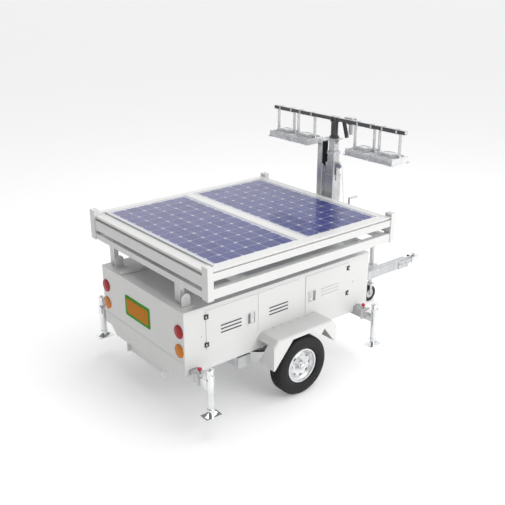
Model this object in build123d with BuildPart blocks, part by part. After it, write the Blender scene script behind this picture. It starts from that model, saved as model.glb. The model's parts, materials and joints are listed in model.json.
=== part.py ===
"""Towable solar lighting tower: a two-wheel trailer with a tilting solar deck and a telescopic lamp mast.

Frame: +X towards the coupling, +Y to the left, +Z up. The origin is on the ground, below the middle
of the whole trailer. All sizes are in millimetres.
"""

from build123d import *

import os

os.makedirs("parts", exist_ok=True)

# ---------------------------------------------------------------- driving dimensions
overall_length = 4440
sheet = 4                      # cabinet and fender sheet
weld_gap = 0.3                 # stand-off between bodies that move on each other
slide_gap = 0.5                # each side of a square tube that slides in another

# cabinet
body_length = 2527
body_width = 1560
body_bottom = 575
body_top = 1248
body_corner = 12
floor_top = 659

# tail
tail_lamp_r = 69
tail_lamp_depth = 18
tail_lamp_y = 700
red_lamp_z = 1031
amber_lamp_z = 828

# chassis
rail_y = 620
rail_width = 60
rail_bottom = 555
rail_top = 655
tube_wall = 5
cross_width = 60
cross_member_x = (-1700, -890, -250)
receiver_size = 100
receiver_bottom = 535
receiver_half = 930
box_beam_x = (-1560, -1400)
box_beam_bottom = 430

# running gear
wheel_x = -890
wheel_r = 332
tyre_width = 194
wheel_y = 943
rim_r = 190
bead_r = 178
rim_inset = 26                 # rim flange inside the tyre's widest part
flange_width = 6
stub_r = 21
axle_size = 60
spring_half = 420
spring_width = 60
spring_thick = 24
spring_eye_z = 505
spring_low_z = 400

# fenders
fender_mid = wheel_x + 10
fender_half = 435
fender_top = 755
fender_rear_z = 430
fender_front_z = 485
fender_outer = 1050
fender_sheet = 3
arch_top = 715
fender_cut = 57                # sloping corners
gusset_reach = 952             # the end walls are cut back in a triangle behind this
gusset_top = 697
gusset_low = 376

# drawbar and coupling
drawbar_width = 100
drawbar_bottom = 425
drawbar_top = 535
drawbar_rear = -300
drawbar_front = 1950
neck_size = 70
coupling_rear = 2060
ball_r = 25.25
coupling_z = 480

# jockey wheel
jockey_x = 1430
jockey_y = 140
jockey_wheel_r = 110
jockey_wheel_width = 66
jockey_trail = 25
jockey_outer_r = 30
jockey_inner_r = 25
jockey_bottom = 420
jockey_top = 770

# outriggers and jacks
jack_x = {"rear": -2100, "front": 160}
jack_y = 1050
jack_r = 35
jack_leg_r = 29
jack_bottom = 305
jack_top = 735
foot_z = 245
foot_size = (180, 115, 10)
arm_inner_y = 200
outrigger_travel = 450
pin_y = 880
pin_r = 6

# doors
door_gap = 0.5
door_thick = 5
door_bottom = 782
door_top = 1203
rear_door = (-1947, -1310)
centre_panel = (-1303, -747)
front_door = (-653, -14)
hinge_out = 10                 # hinge axis beyond the cabinet side
hinge_edge = 2.5               # door edge beyond the hinge axis
hinge_z = (842, 1140)
hinge_length = 50
louvre_length = 250
louvre_height = 13
louvre_pitch = 38
louvre_z = 958
handle_size = (112, 136)
handle_z = 958
tub_depth = 30

# solar deck
glass_height = 1738
deck_rear = -2136
deck_front = 346
deck_half = 1095
post_x = 65
post_y = 90
post_bottom = 1456
post_top = 1781
deck_rail = 60
deck_set_back = 10
deck_wall = 3
upper_rail = (1640, 1712)
lower_rail = (1465, 1560)
end_upper_rail = (1568, 1676)
end_lower_rail = (1465, 1527)
end_strip_z = (1698, 1723)      # the end strips lie lower than the side ones
strip_z = (1720, 1745)
module_length = 1956
module_width = 1036
module_depth = 35
module_lip = 11
module_x = (-1990, -840)
laminate_thick = 5
purlin_depth = 60
purlin_width = 45
leg_size = (50, 90)
leg_y = (705, -550)
lug_offset = -100
lug_thick = 12
lug_r = 50
tilt_x = -2080
tilt_z = 1325
tilt_pin_r = 9

# mast
mast_x = 480
mast_bottom = 550
mast_size = (130, 112, 96, 80)
mast_top = (1966, 2105, 2240, 2395)
mast_start = (550, 580, 600, 620)
mast_wall = 4
collar_height = 40
collar_lip = (4, 14, 14)
foot_ring = 60
column_size = 80
column_x = 480
column_y = 185
column_top = 2290
conduit_r = 36
conduit_x = 445
conduit_y = 105
conduit_top = 2040
coil_r = 34
coil_top = 2350
sheave_r = 32
sheave_y = -108
sheave_z = 2080
winch_y = -185
winch_z = 1480
drum_r = 32
rope_r = 3
crank_x = 590
crank_arm = 215

# lamp head
bar_size = 42
bar_half = 1040
bar_z = 2617
head_r = 42
lamp_y = (830, 470)
lamp_size = (276, 330, 80)
lamp_pivot_z = 2347
lamp_drop = 82                 # pivot down to the lamp's front glass
lamp_case = 60
stay_y = -132                  # twin stay beside the mast head
stay_slant = -18
stay_length = 215
stay_width = 34
strap_reach = 143
strap_width = 40
strap_thick = 6

# ---------------------------------------------------------------- worked out from the values above
tail_x = -overall_length / 2 + tail_lamp_depth
front_x = tail_x + body_length
side_y = body_width / 2
nose_x = overall_length / 2
SIDES = {"left": 1, "right": -1}


# ---------------------------------------------------------------- helpers
def block(x, y, z, mode=Mode.ADD):
    """A block between two corners, given as three (low, high) spans."""
    middle = ((x[0] + x[1]) / 2, (y[0] + y[1]) / 2, (z[0] + z[1]) / 2)
    with Locations(middle):
        Box(abs(x[1] - x[0]), abs(y[1] - y[0]), abs(z[1] - z[0]), mode=mode)


def span(middle, size):
    """The (low, high) span of a size about its middle."""
    return (middle - size / 2, middle + size / 2)


def grown(pair, by):
    """A span made longer at both ends."""
    return (min(pair) - by, max(pair) + by)


def box_tube(x, y, z, wall, along):
    """A square tube between two corners, open along one axis, as a part of its own."""
    with BuildPart() as tube:
        block(x, y, z)
        spans = [grown(pair, -wall) for pair in (x, y, z)]
        spans[along] = grown((x, y, z)[along], wall)
        block(*spans, mode=Mode.SUBTRACT)
    return tube.part


def upright(x, y, radius, z, mode=Mode.ADD):
    """A vertical cylinder between two heights."""
    with Locations((x, y, (z[0] + z[1]) / 2)):
        Cylinder(radius, abs(z[1] - z[0]), mode=mode)


def crosswise(x, y, z, radius, mode=Mode.ADD):
    """A cylinder along Y between two places."""
    with Locations((x, (y[0] + y[1]) / 2, z)):
        Cylinder(radius, abs(y[1] - y[0]), rotation=(90, 0, 0), mode=mode)


def lengthwise(x, y, z, radius, mode=Mode.ADD):
    """A cylinder along X between two places."""
    with Locations(((x[0] + x[1]) / 2, y, z)):
        Cylinder(radius, abs(x[1] - x[0]), rotation=(0, 90, 0), mode=mode)


def outward(side, low, high):
    """A Y span on the left (side 1) or right (side -1) of the trailer."""
    return tuple(sorted((side * low, side * high)))


def keep(builder, label):
    """Label a finished piece and write its file."""
    builder.part.label = label
    export_step(builder.part, f"parts/{label}.step")


def keep_group(parts, label):
    """Label several separate solids as one piece and write its file."""
    solids = [solid for part in parts for solid in part.solids()]
    group = Compound(label=label, children=solids)
    export_step(group, f"parts/{label}.step")


# ---------------------------------------------------------------- chassis
def chassis_frame():
    pieces = []
    receiver_z = (receiver_bottom, receiver_bottom + receiver_size)
    rail_x = (jack_x["rear"] + receiver_size / 2, jack_x["front"] - receiver_size / 2)
    for side in SIDES.values():
        y = span(side * rail_y, rail_width)
        pieces.append(box_tube(rail_x, y, (rail_bottom, rail_top), tube_wall, 0))
    for x in cross_member_x:
        y = (-rail_y + rail_width / 2, rail_y - rail_width / 2)
        z = (rail_bottom + 20, rail_top - 20)
        pieces.append(box_tube(span(x, cross_width), y, z, tube_wall, 1))
    for x in jack_x.values():
        with BuildPart() as receiver:
            add(box_tube(span(x, receiver_size), (-receiver_half, receiver_half), receiver_z, tube_wall, 1))
            for side in SIDES.values():
                upright(x, side * pin_y, pin_r + 2, grown(receiver_z, 1), mode=Mode.SUBTRACT)
                upright(x, side * pin_y, pin_r + 8, (receiver_z[1], receiver_z[1] + 22))
                upright(x, side * pin_y, pin_r + weld_gap, (receiver_z[1] - tube_wall, receiver_z[1] + 23),
                        mode=Mode.SUBTRACT)
        pieces.append(receiver.part)
    with BuildPart() as box_beam:
        block(box_beam_x, (-side_y, side_y), (box_beam_bottom, rail_bottom))
        inner = grown(box_beam_x, -tube_wall)
        block(inner, grown((-side_y, side_y), -tube_wall), (box_beam_bottom + tube_wall, rail_bottom - tube_wall),
              mode=Mode.SUBTRACT)
    pieces.append(box_beam.part)
    keep_group(pieces, "chassis_frame")


def drawbar():
    with BuildPart() as beam:
        add(box_tube((drawbar_rear, drawbar_front), span(0, drawbar_width), (drawbar_bottom, drawbar_top),
                     tube_wall, 0))
        neck_z = span(coupling_z, neck_size)
        block((drawbar_front - 120, coupling_rear + 60), span(0, neck_size), neck_z)
        for side in SIDES.values():
            block((drawbar_front - 190, drawbar_front + 20),
                  outward(side, drawbar_width / 2, drawbar_width / 2 + 8), (drawbar_bottom - 5, drawbar_top - 10))
            for x in (drawbar_front - 160, drawbar_front - 110, drawbar_front - 40):
                crosswise(x, outward(side, drawbar_width / 2 + 8, drawbar_width / 2 + 18), coupling_z, 12)
        block((drawbar_front, drawbar_front + 5), span(0, drawbar_width), (drawbar_bottom, drawbar_top))
        block(span(jockey_x, 90), (drawbar_width / 2, jockey_y), (drawbar_bottom + 15, drawbar_top - 5))
        upright(jockey_x, jockey_y, jockey_outer_r + 14, (drawbar_bottom + 15, drawbar_top - 5))
        upright(jockey_x, jockey_y, jockey_outer_r + weld_gap, (drawbar_bottom, drawbar_top),
                mode=Mode.SUBTRACT)
        lengthwise((jockey_x + 40, jockey_x + 75), jockey_y, coupling_z, 7)
        block(span(mast_x, 200), span(55, 360), (drawbar_top, mast_bottom))
    keep(beam, "drawbar")


def coupling_head():
    low = coupling_z - 42
    with BuildPart() as head:
        with BuildSketch(Plane.XY.offset(low)):
            with BuildLine():
                Polyline((coupling_rear, -42), (coupling_rear, 42), (2130, 52), (nose_x - 45, 52))
                ThreePointArc((nose_x - 45, 52), (nose_x, 0), (nose_x - 45, -52))
                Polyline((nose_x - 45, -52), (2130, -52), (coupling_rear, -42))
            make_face()
        extrude(amount=86)
        top = head.faces().sort_by(Axis.Z)[-1].edges()
        fillet(top, 14)
        block((coupling_rear - 1, coupling_rear + 60.3), span(0, neck_size + 0.6), span(coupling_z, neck_size + 0.6),
              mode=Mode.SUBTRACT)
        upright(nose_x - 50, 0, ball_r, (low - 1, low + 36), mode=Mode.SUBTRACT)
        with Locations((nose_x - 50, 0, low + 36)):
            Sphere(ball_r, mode=Mode.SUBTRACT)
        for side in SIDES.values():
            block((2118, 2150), outward(side, 14, 22), (coupling_z + 44, coupling_z + 74))
        crosswise(2134, (-24, 24), coupling_z + 62, 5)
    keep(head, "coupling_head")


def coupling_lever():
    with BuildPart() as lever:
        crosswise(2134, (-13, 13), coupling_z + 62, 12)
        block((2030, 2134), span(0, 22), (coupling_z + 56, coupling_z + 68))
        block((2006, 2034), span(0, 40), (coupling_z + 54, coupling_z + 70))
        fillet(lever.edges().filter_by(Axis.Y).group_by(Axis.X)[0], 7)
        crosswise(2134, (-14, 14), coupling_z + 62, 5 + 0.05, mode=Mode.SUBTRACT)
    keep(lever, "coupling_lever")


# ---------------------------------------------------------------- cabinet
def door_opening(x):
    """The hole that a door or panel covers, 16 mm inside its outline."""
    return grown(x, -16), (door_bottom + 16, door_top - 16)


def cabinet_panel(x, y, z, windows=False):
    """The part of the cabinet's rounded outside that lies between two corners."""
    with BuildPart() as panel:
        block((tail_x, front_x), (-side_y, side_y), (body_bottom, body_top))
        fillet(panel.edges().filter_by(Axis.Z), body_corner)
        fillet(panel.faces().sort_by(Axis.Z)[-1].edges(), sheet)
        block(x, y, z, mode=Mode.INTERSECT)
        if windows:
            for door_x in (rear_door, centre_panel, front_door):
                open_x, open_z = door_opening(door_x)
                block(open_x, grown(y, 1), open_z, mode=Mode.SUBTRACT)
            for middle in jack_x.values():
                notch = grown(span(middle, receiver_size), 4)
                block(notch, grown(y, 1), (body_bottom - 1, receiver_bottom + receiver_size + 4), mode=Mode.SUBTRACT)
    return panel.part


def body_shell():
    """Roof, floor, two ends and two sides, welded at their edges."""
    inner_x = (tail_x + sheet, front_x - sheet)
    inner_y = (-side_y + sheet, side_y - sheet)
    wall_z = (body_bottom, body_top - sheet)
    panels = [cabinet_panel((tail_x, front_x), (-side_y, side_y), (wall_z[1], body_top)),
              cabinet_panel(inner_x, inner_y, (rail_top, floor_top)),
              cabinet_panel((tail_x, inner_x[0]), inner_y, wall_z),
              cabinet_panel((inner_x[1], front_x), inner_y, wall_z)]
    for side in SIDES.values():
        panels.append(cabinet_panel((tail_x, front_x), outward(side, inner_y[1], side_y), wall_z, windows=True))
    keep_group(panels, "body_shell")


def panel_louvres(x, side):
    """Three slots through a door or panel."""
    y = grown(outward(side, side_y, side_y + door_thick), 4)
    for step in (-1, 0, 1):
        z = span(louvre_z - step * louvre_pitch, louvre_height)
        block(span(x, louvre_length), y, z, mode=Mode.SUBTRACT)


def centre_panels():
    panels = []
    for side in SIDES.values():
        with BuildPart() as panel:
            y = outward(side, side_y, side_y + door_thick)
            block(centre_panel, y, (door_bottom, door_top))
            panel_louvres(sum(centre_panel) / 2 - 5, side)
        panels.append(panel.part)
    keep_group(panels, "centre_panels")


def hinge_line(x, end):
    """The hinge axis lies just outside the door's rear edge (end -1) or front edge (end 1)."""
    return x[0] - hinge_edge if end < 0 else x[1] + hinge_edge


def door_hinges():
    """The fixed leaves, each with its two knuckles and the hinge pin."""
    leaves = []
    for side in SIDES.values():
        for x, end in ((rear_door, -1), (front_door, 1)):
            axis_x = hinge_line(x, end)
            axis_y = side * (side_y + hinge_out)
            for z in hinge_z:
                with BuildPart() as leaf:
                    block(tuple(sorted((axis_x, axis_x + end * 18))), outward(side, side_y, side_y + 5),
                          span(z, hinge_length))
                    block(tuple(sorted((axis_x, axis_x + end * 6))), outward(side, side_y, side_y + hinge_out),
                          span(z, hinge_length))
                    upright(axis_x, axis_y, 6, span(z, hinge_length))
                    upright(axis_x, axis_y, 6.5, span(z, 25), mode=Mode.SUBTRACT)
                    upright(axis_x, axis_y, 3.5, span(z, hinge_length))
                leaves.append(leaf.part)
    keep_group(leaves, "door_hinges")


def door(name, x, end, side):
    axis_x = hinge_line(x, end)
    axis_y = side * (side_y + hinge_out)
    middle = sum(x) / 2
    handle_x = x[1] - 85 if end < 0 else x[0] + 95
    skin = (side_y + door_gap, side_y + door_gap + door_thick)
    with BuildPart() as leaf:
        block(x, outward(side, *skin), (door_bottom, door_top))
        panel_louvres(middle - 18 if end < 0 else middle + 42, side)
        ring = (span(handle_x, handle_size[0]), span(handle_z, handle_size[1]))
        block(ring[0], outward(side, skin[1], skin[1] + 5), ring[1])
        tub = (grown(ring[0], -8), grown(ring[1], -8))
        block(tub[0], outward(side, side_y - tub_depth, skin[1]), tub[1])
        block(grown(tub[0], -3), outward(side, side_y - tub_depth + 3, skin[1] + 6), grown(tub[1], -3),
              mode=Mode.SUBTRACT)
        pivot_x = handle_x - end * 34
        upright(pivot_x, side * (skin[1] - 1), 3.05, grown(ring[1], -5), mode=Mode.SUBTRACT)
        for z in hinge_z:
            upright(axis_x, axis_y, 6.6, span(z, hinge_length + 1), mode=Mode.SUBTRACT)
            upright(axis_x, axis_y, 6, span(z, 24.4))
            block(tuple(sorted((axis_x, axis_x - end * 20))), outward(side, skin[1], side_y + hinge_out),
                  span(z, 24.4))
            upright(axis_x, axis_y, 3.55, span(z, 26), mode=Mode.SUBTRACT)
    keep(leaf, f"door_{name}")
    with BuildPart() as paddle:
        tall = handle_size[1] - 26
        y = outward(side, skin[1] - 3, skin[1] + 3)
        block(tuple(sorted((pivot_x - end * 4, pivot_x + end * 46))), y, span(handle_z, tall))
        upright(pivot_x, side * (skin[1] - 1), 3, grown(ring[1], -6))
        lip_x = tuple(sorted((pivot_x + end * 40, pivot_x + end * 46)))
        block(lip_x, outward(side, skin[1] - 10, skin[1] + 3), span(handle_z, tall))
    keep(paddle, f"paddle_{name}")


def tail_lamps():
    lamps = []
    for side in SIDES.values():
        for z in (red_lamp_z, amber_lamp_z):
            with BuildPart() as lamp:
                lengthwise((tail_x - tail_lamp_depth, tail_x), side * tail_lamp_y, z, tail_lamp_r)
                fillet(lamp.edges().group_by(Axis.X)[0], tail_lamp_depth * 0.6)
            lamps.append(lamp.part)
    keep_group(lamps, "tail_lamps")


def rear_apron():
    inner_x = tail_x + sheet
    receiver_rear = jack_x["rear"] - receiver_size / 2
    with BuildPart() as apron:
        with BuildSketch(Plane.YZ.offset(inner_x)):
            with BuildLine():
                Polyline((-690, 640), (-690, 590), (-560, 485), (560, 485), (690, 590), (690, 640), close=True)
            make_face()
        extrude(amount=sheet)
        plate = (receiver_rear - sheet, receiver_rear)
        block(plate, (-350, 350), (370, 600))
        for side in SIDES.values():
            block((inner_x + sheet, plate[0]), outward(side, 346, 350), (370, 600))
    keep(apron, "rear_apron")


def power_pack():
    pieces = []
    for x in (-1750, -1350, -950, -550):
        with BuildPart() as battery:
            block(span(x, 340), (-280, 280), (floor_top, floor_top + 230))
            chamfer(battery.edges().filter_by(Axis.Z), 8)
            for side in SIDES.values():
                upright(x - 120, side * 180, 12, (floor_top + 230, floor_top + 248))
        pieces.append(battery.part)
    with BuildPart() as controller:
        block((-200, 100), (-350, 350), (floor_top, floor_top + 380))
        fillet(controller.edges().filter_by(Axis.Z), 10)
    pieces.append(controller.part)
    keep_group(pieces, "power_pack")


# ---------------------------------------------------------------- running gear
def fender(side):
    rear, front = fender_mid - fender_half, fender_mid + fender_half
    cut = fender_cut
    y_plane = Plane((0, side * side_y, 0), x_dir=(1, 0, 0), z_dir=(0, -1, 0))
    reach = side * -(fender_outer - side_y)
    with BuildPart() as cover:
        with BuildSketch(y_plane):
            with BuildLine():
                Polyline((rear, fender_rear_z), (rear, fender_top - cut), (rear + cut, fender_top),
                         (front - cut, fender_top), (front, fender_top - cut), (front, fender_front_z),
                         close=True)
            make_face()
        extrude(amount=reach)
        outer_face = cover.faces().sort_by(Axis.Y)[-1 if side > 0 else 0]
        rim = [edge for edge in outer_face.edges() if edge.center().Z > fender_top - cut]
        fillet(rim, 30)
        inner = fender_sheet
        with BuildSketch(y_plane):
            with BuildLine():
                Polyline((rear + inner, 0), (rear + inner, fender_top - cut), (rear + cut, fender_top - inner),
                         (front - cut, fender_top - inner), (front - inner, fender_top - cut),
                         (front - inner, 0), close=True)
            make_face()
        extrude(amount=reach - inner * (1 if reach > 0 else -1), mode=Mode.SUBTRACT)
        with BuildSketch(y_plane):
            with BuildLine():
                FilletPolyline((rear - 30, 380), (rear + 12, fender_rear_z - 1), (fender_mid - 176, arch_top),
                               (fender_mid + 246, arch_top), (front - 12, fender_front_z - 1),
                               (front + 30, 380), radius=20, close=False)
                Line((front + 30, 380), (rear - 30, 380))
            make_face()
        extrude(amount=reach * 2, mode=Mode.SUBTRACT)
        with BuildSketch(Plane.YZ.offset(rear - 1)):
            with BuildLine():
                inside_y = side * (side_y - 1)
                Polyline((inside_y, gusset_low), (inside_y, gusset_top), (side * gusset_reach, gusset_top), close=True)
            make_face()
        extrude(amount=front - rear + 2, mode=Mode.SUBTRACT)
    return cover.part


def fenders():
    keep_group([fender(side) for side in SIDES.values()], "fenders")


def axle_beam():
    with BuildPart() as axle:
        block(span(wheel_x, axle_size), (-wheel_y + 110, wheel_y - 110), span(wheel_r, axle_size))
        crosswise(wheel_x, (-wheel_y - 20, wheel_y + 20), wheel_r, stub_r)
        for side in SIDES.values():
            pad = span(side * rail_y, spring_width)
            block(span(wheel_x, 110), pad, (wheel_r + axle_size / 2, spring_low_z - spring_thick / 2))
    return axle.part


def leaf_springs():
    springs = []
    for side in SIDES.values():
        y = side * rail_y
        plane = Plane((0, y - spring_width / 2, 0), x_dir=(1, 0, 0), z_dir=(0, -1, 0))
        with BuildPart() as spring:
            with BuildSketch(plane):
                with BuildLine() as arc:
                    low = spring_low_z - spring_thick / 2
                    high = spring_low_z + spring_thick / 2
                    rise = spring_eye_z - spring_low_z
                    ends = (wheel_x - spring_half, wheel_x + spring_half)
                    ThreePointArc((ends[0], low + rise), (wheel_x, low), (ends[1], low + rise))
                    Line((ends[1], low + rise), (ends[1], high + rise))
                    ThreePointArc((ends[1], high + rise), (wheel_x, high), (ends[0], high + rise))
                    Line((ends[0], high + rise), (ends[0], low + rise))
                make_face()
            extrude(amount=-spring_width)
            block(span(wheel_x, 300), span(y, spring_width), (spring_low_z - spring_thick / 2, spring_low_z + 26))
            for x in ends:
                crosswise(x, span(y, spring_width), spring_eye_z, 20)
                block(span(x, 46), span(y, spring_width), (spring_eye_z, rail_bottom))
                crosswise(x, span(y, spring_width + 24), spring_eye_z, 9)
        springs.append(spring.part)
    return springs


def wheel_plane(side):
    """Local x is the radius, local y points out from the trailer."""
    return Plane((wheel_x, side * wheel_y, wheel_r), x_dir=(1, 0, 0), z_dir=(0, 0, side))


def wheel_axis():
    return Axis((wheel_x, 0, wheel_r), (0, 1, 0))


def tyre(name, side):
    half = tyre_width / 2
    seat = half - rim_inset - flange_width - weld_gap
    bead = bead_r + weld_gap
    with BuildPart() as tyre_part:
        with BuildSketch(wheel_plane(side)):
            with BuildLine():
                FilletPolyline((bead, -seat), (rim_r + 3, -seat), (rim_r + 20, -half + 10), (rim_r + 62, -half),
                               (wheel_r - 22, -half + 8), (wheel_r, -half + 34), (wheel_r, half - 34),
                               (wheel_r - 22, half - 8), (rim_r + 62, half), (rim_r + 20, half - 10),
                               (rim_r + 3, seat), (bead, seat), radius=8)
                Polyline((bead, seat), (bead, seat - 18), (rim_r + 40, half - 20), (wheel_r - 18, half - 30),
                         (wheel_r - 18, 30 - half), (rim_r + 40, 20 - half), (bead, 18 - seat), (bead, -seat))
            make_face()
        revolve(axis=wheel_axis())
        tread = [Plane.XZ.offset(-side * wheel_y + step * 30) for step in (-1, 0, 1)]
        for plane in tread:
            groove = plane.origin.Y
            with BuildSketch(Plane((wheel_x, groove, wheel_r), x_dir=(1, 0, 0), z_dir=(0, 0, 1))):
                with Locations((wheel_r - 2, 0)):
                    Rectangle(10, 6)
            revolve(axis=wheel_axis(), mode=Mode.SUBTRACT)
    keep(tyre_part, f"tyre_{name}")


def wheel_rim(name, side):
    half = tyre_width / 2 - rim_inset
    disc = 22
    with BuildPart() as rim:
        with BuildSketch(wheel_plane(side)):
            with BuildLine():
                Polyline((rim_r, -half), (rim_r, -half + 4), (bead_r, -half + flange_width), (bead_r, -half + 26),
                         (bead_r - 22, -half + 38), (bead_r - 22, half - 42), (bead_r, half - 26),
                         (bead_r, half - flange_width), (rim_r, half - 4), (rim_r, half), (bead_r - 5, half),
                         (bead_r - 5, half - 24), (bead_r - 27, half - 40), (bead_r - 27, disc + 4),
                         (120, disc + 22), (92, disc + 14), (60, disc + 8), (stub_r + 14, disc + 8),
                         (stub_r + 14, disc + 30), (stub_r + 0.06, disc + 30), (stub_r + 0.06, -20),
                         (70, -20), (70, disc - 2), (92, disc + 8), (120, disc + 16), (bead_r - 27, disc - 2),
                         (bead_r - 27, -half + 36), (bead_r - 5, -half + 24), (bead_r - 5, -half), close=True)
            make_face()
        revolve(axis=wheel_axis())
        face = Plane((wheel_x, side * (wheel_y + disc + 8), wheel_r), x_dir=(1, 0, 0), z_dir=(0, side, 0))
        with BuildSketch(face.offset(30)):
            with PolarLocations(118, 8):
                SlotOverall(38, 22, rotation=90)
        extrude(amount=-60, mode=Mode.SUBTRACT)
        with BuildSketch(face.offset(-2)):
            with PolarLocations(50, 5):
                RegularPolygon(10, 6)
        extrude(amount=16)
    keep(rim, f"wheel_rim_{name}")


# ---------------------------------------------------------------- jockey wheel
def jockey_wheel_set():
    wheel_axle_x = jockey_x - jockey_trail
    with BuildPart() as outer:
        upright(jockey_x, jockey_y, jockey_outer_r, (jockey_bottom, jockey_top))
        upright(jockey_x, jockey_y, jockey_inner_r + weld_gap, (jockey_bottom - 1, jockey_top - 6),
                mode=Mode.SUBTRACT)
        upright(jockey_x, jockey_y, jockey_outer_r + 3, (jockey_top, jockey_top + 8))
        upright(jockey_x, jockey_y, 8.3, (jockey_top - 10, jockey_top + 10), mode=Mode.SUBTRACT)
    keep(outer, "jockey_outer_tube")
    with BuildPart() as inner:
        upright(jockey_x, jockey_y, jockey_inner_r, (258 + weld_gap, 600))
        upright(jockey_x, jockey_y, jockey_inner_r - 4, (280, 601), mode=Mode.SUBTRACT)
        upright(jockey_x, jockey_y, 12, (236, 262))
        upright(jockey_x, jockey_y, 17, (236, 244 - weld_gap))
    keep(inner, "jockey_inner_tube")
    with BuildPart() as fork:
        crown = (244, 258)
        block((wheel_axle_x - 26, jockey_x + 26), span(jockey_y, jockey_wheel_width + 22), crown)
        upright(jockey_x, jockey_y, 12.05, grown(crown, 1), mode=Mode.SUBTRACT)
        for side in SIDES.values():
            y = span(jockey_y + side * (jockey_wheel_width / 2 + 8), 6)
            block(span(wheel_axle_x, 44), y, (jockey_wheel_r, crown[1]))
            crosswise(wheel_axle_x, y, jockey_wheel_r, 22)
        crosswise(wheel_axle_x, span(jockey_y, jockey_wheel_width + 34), jockey_wheel_r, 8)
    keep(fork, "jockey_fork")
    with BuildPart() as wheel:
        crosswise(wheel_axle_x, span(jockey_y, jockey_wheel_width), jockey_wheel_r, jockey_wheel_r)
        fillet(wheel.edges().filter_by(GeomType.CIRCLE), 14)
        for side in SIDES.values():
            y = span(jockey_y + side * jockey_wheel_width / 2, 24)
            crosswise(wheel_axle_x, y, jockey_wheel_r, 66, mode=Mode.SUBTRACT)
        crosswise(wheel_axle_x, span(jockey_y, jockey_wheel_width + 6), jockey_wheel_r, 18)
        crosswise(wheel_axle_x, span(jockey_y, jockey_wheel_width + 8), jockey_wheel_r, 8.05, mode=Mode.SUBTRACT)
    keep(wheel, "jockey_wheel")
    with BuildPart() as crank:
        top = jockey_top + 8
        upright(jockey_x, jockey_y, 8, (700, top + 14))
        block((jockey_x - 16, jockey_x + 92), span(jockey_y, 24), (top + 14, top + 22))
        upright(jockey_x + 78, jockey_y, 14, (top + 22, top + 74))
        fillet(crank.faces().sort_by(Axis.Z)[-1].edges(), 6)
    keep(crank, "jockey_crank")


# ---------------------------------------------------------------- outriggers
def outrigger(end, name, side):
    x = jack_x[end]
    label = f"{end}_{name}"
    arm = receiver_size - 2 * tube_wall - 2 * slide_gap
    middle_z = receiver_bottom + receiver_size / 2
    with BuildPart() as carrier:
        block(span(x, arm), outward(side, arm_inner_y, jack_y), span(middle_z, arm))
        block(span(x, arm - 10), outward(side, arm_inner_y - 1, jack_y - jack_r - 12), span(middle_z, arm - 10),
              mode=Mode.SUBTRACT)
        slot = outward(side, pin_y - outrigger_travel - pin_r - 2, pin_y + pin_r + 2)
        block(span(x, 2 * (pin_r + 1)), slot, (middle_z, middle_z + arm), mode=Mode.SUBTRACT)
        upright(x, side * jack_y, jack_r, (jack_bottom, jack_top))
        upright(x, side * jack_y, jack_r + 4, (jack_top - 10, jack_top + 10))
        crosswise(x, outward(side, jack_y, jack_y + jack_r + 22), jack_top - 40, 9)
        upright(x, side * jack_y, jack_leg_r + weld_gap, (jack_bottom - 1, jack_top - 12), mode=Mode.SUBTRACT)
    keep(carrier, f"outrigger_{label}")
    with BuildPart() as leg:
        upright(x, side * jack_y, jack_leg_r, (foot_z + foot_size[2], jack_top - 20))
        upright(x, side * jack_y, jack_leg_r - 4, (foot_z + 60, jack_top - 19), mode=Mode.SUBTRACT)
        block(span(x, foot_size[0]), span(side * jack_y, foot_size[1]), (foot_z, foot_z + foot_size[2]))
        chamfer(leg.faces().sort_by(Axis.Z)[0].edges(), 3)
        for way in (1, -1):
            plane = Plane((x, side * jack_y + 3, foot_z + foot_size[2]), x_dir=(way, 0, 0), z_dir=(0, -1, 0)) \
                if way > 0 else Plane((x, side * jack_y - 3, foot_z + foot_size[2]), x_dir=(-1, 0, 0), z_dir=(0, 1, 0))
            with BuildSketch(plane):
                with BuildLine():
                    Polyline((jack_leg_r - 2, 0), (jack_leg_r - 2, 34), (jack_leg_r + 44, 0), close=True)
                make_face()
            extrude(amount=6)
    keep(leg, f"jack_leg_{label}")
    with BuildPart() as pin:
        top = receiver_bottom + receiver_size + 22
        y = side * pin_y
        upright(x, y, pin_r, (receiver_bottom + receiver_size - tube_wall - 8, top + 20))
        upright(x, y, 10, (top + 1, top + 12))
        upright(x, y, 21, (top + 12, top + 30))
        fillet(pin.faces().sort_by(Axis.Z)[-1].edges(), 8)
    keep(pin, f"pull_pin_{label}")


# ---------------------------------------------------------------- solar deck
def deck_spans():
    """The inner spans between the corner posts, along X and Y."""
    return (deck_rear + post_x, deck_front - post_x), (-deck_half + post_y, deck_half - post_y)


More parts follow.
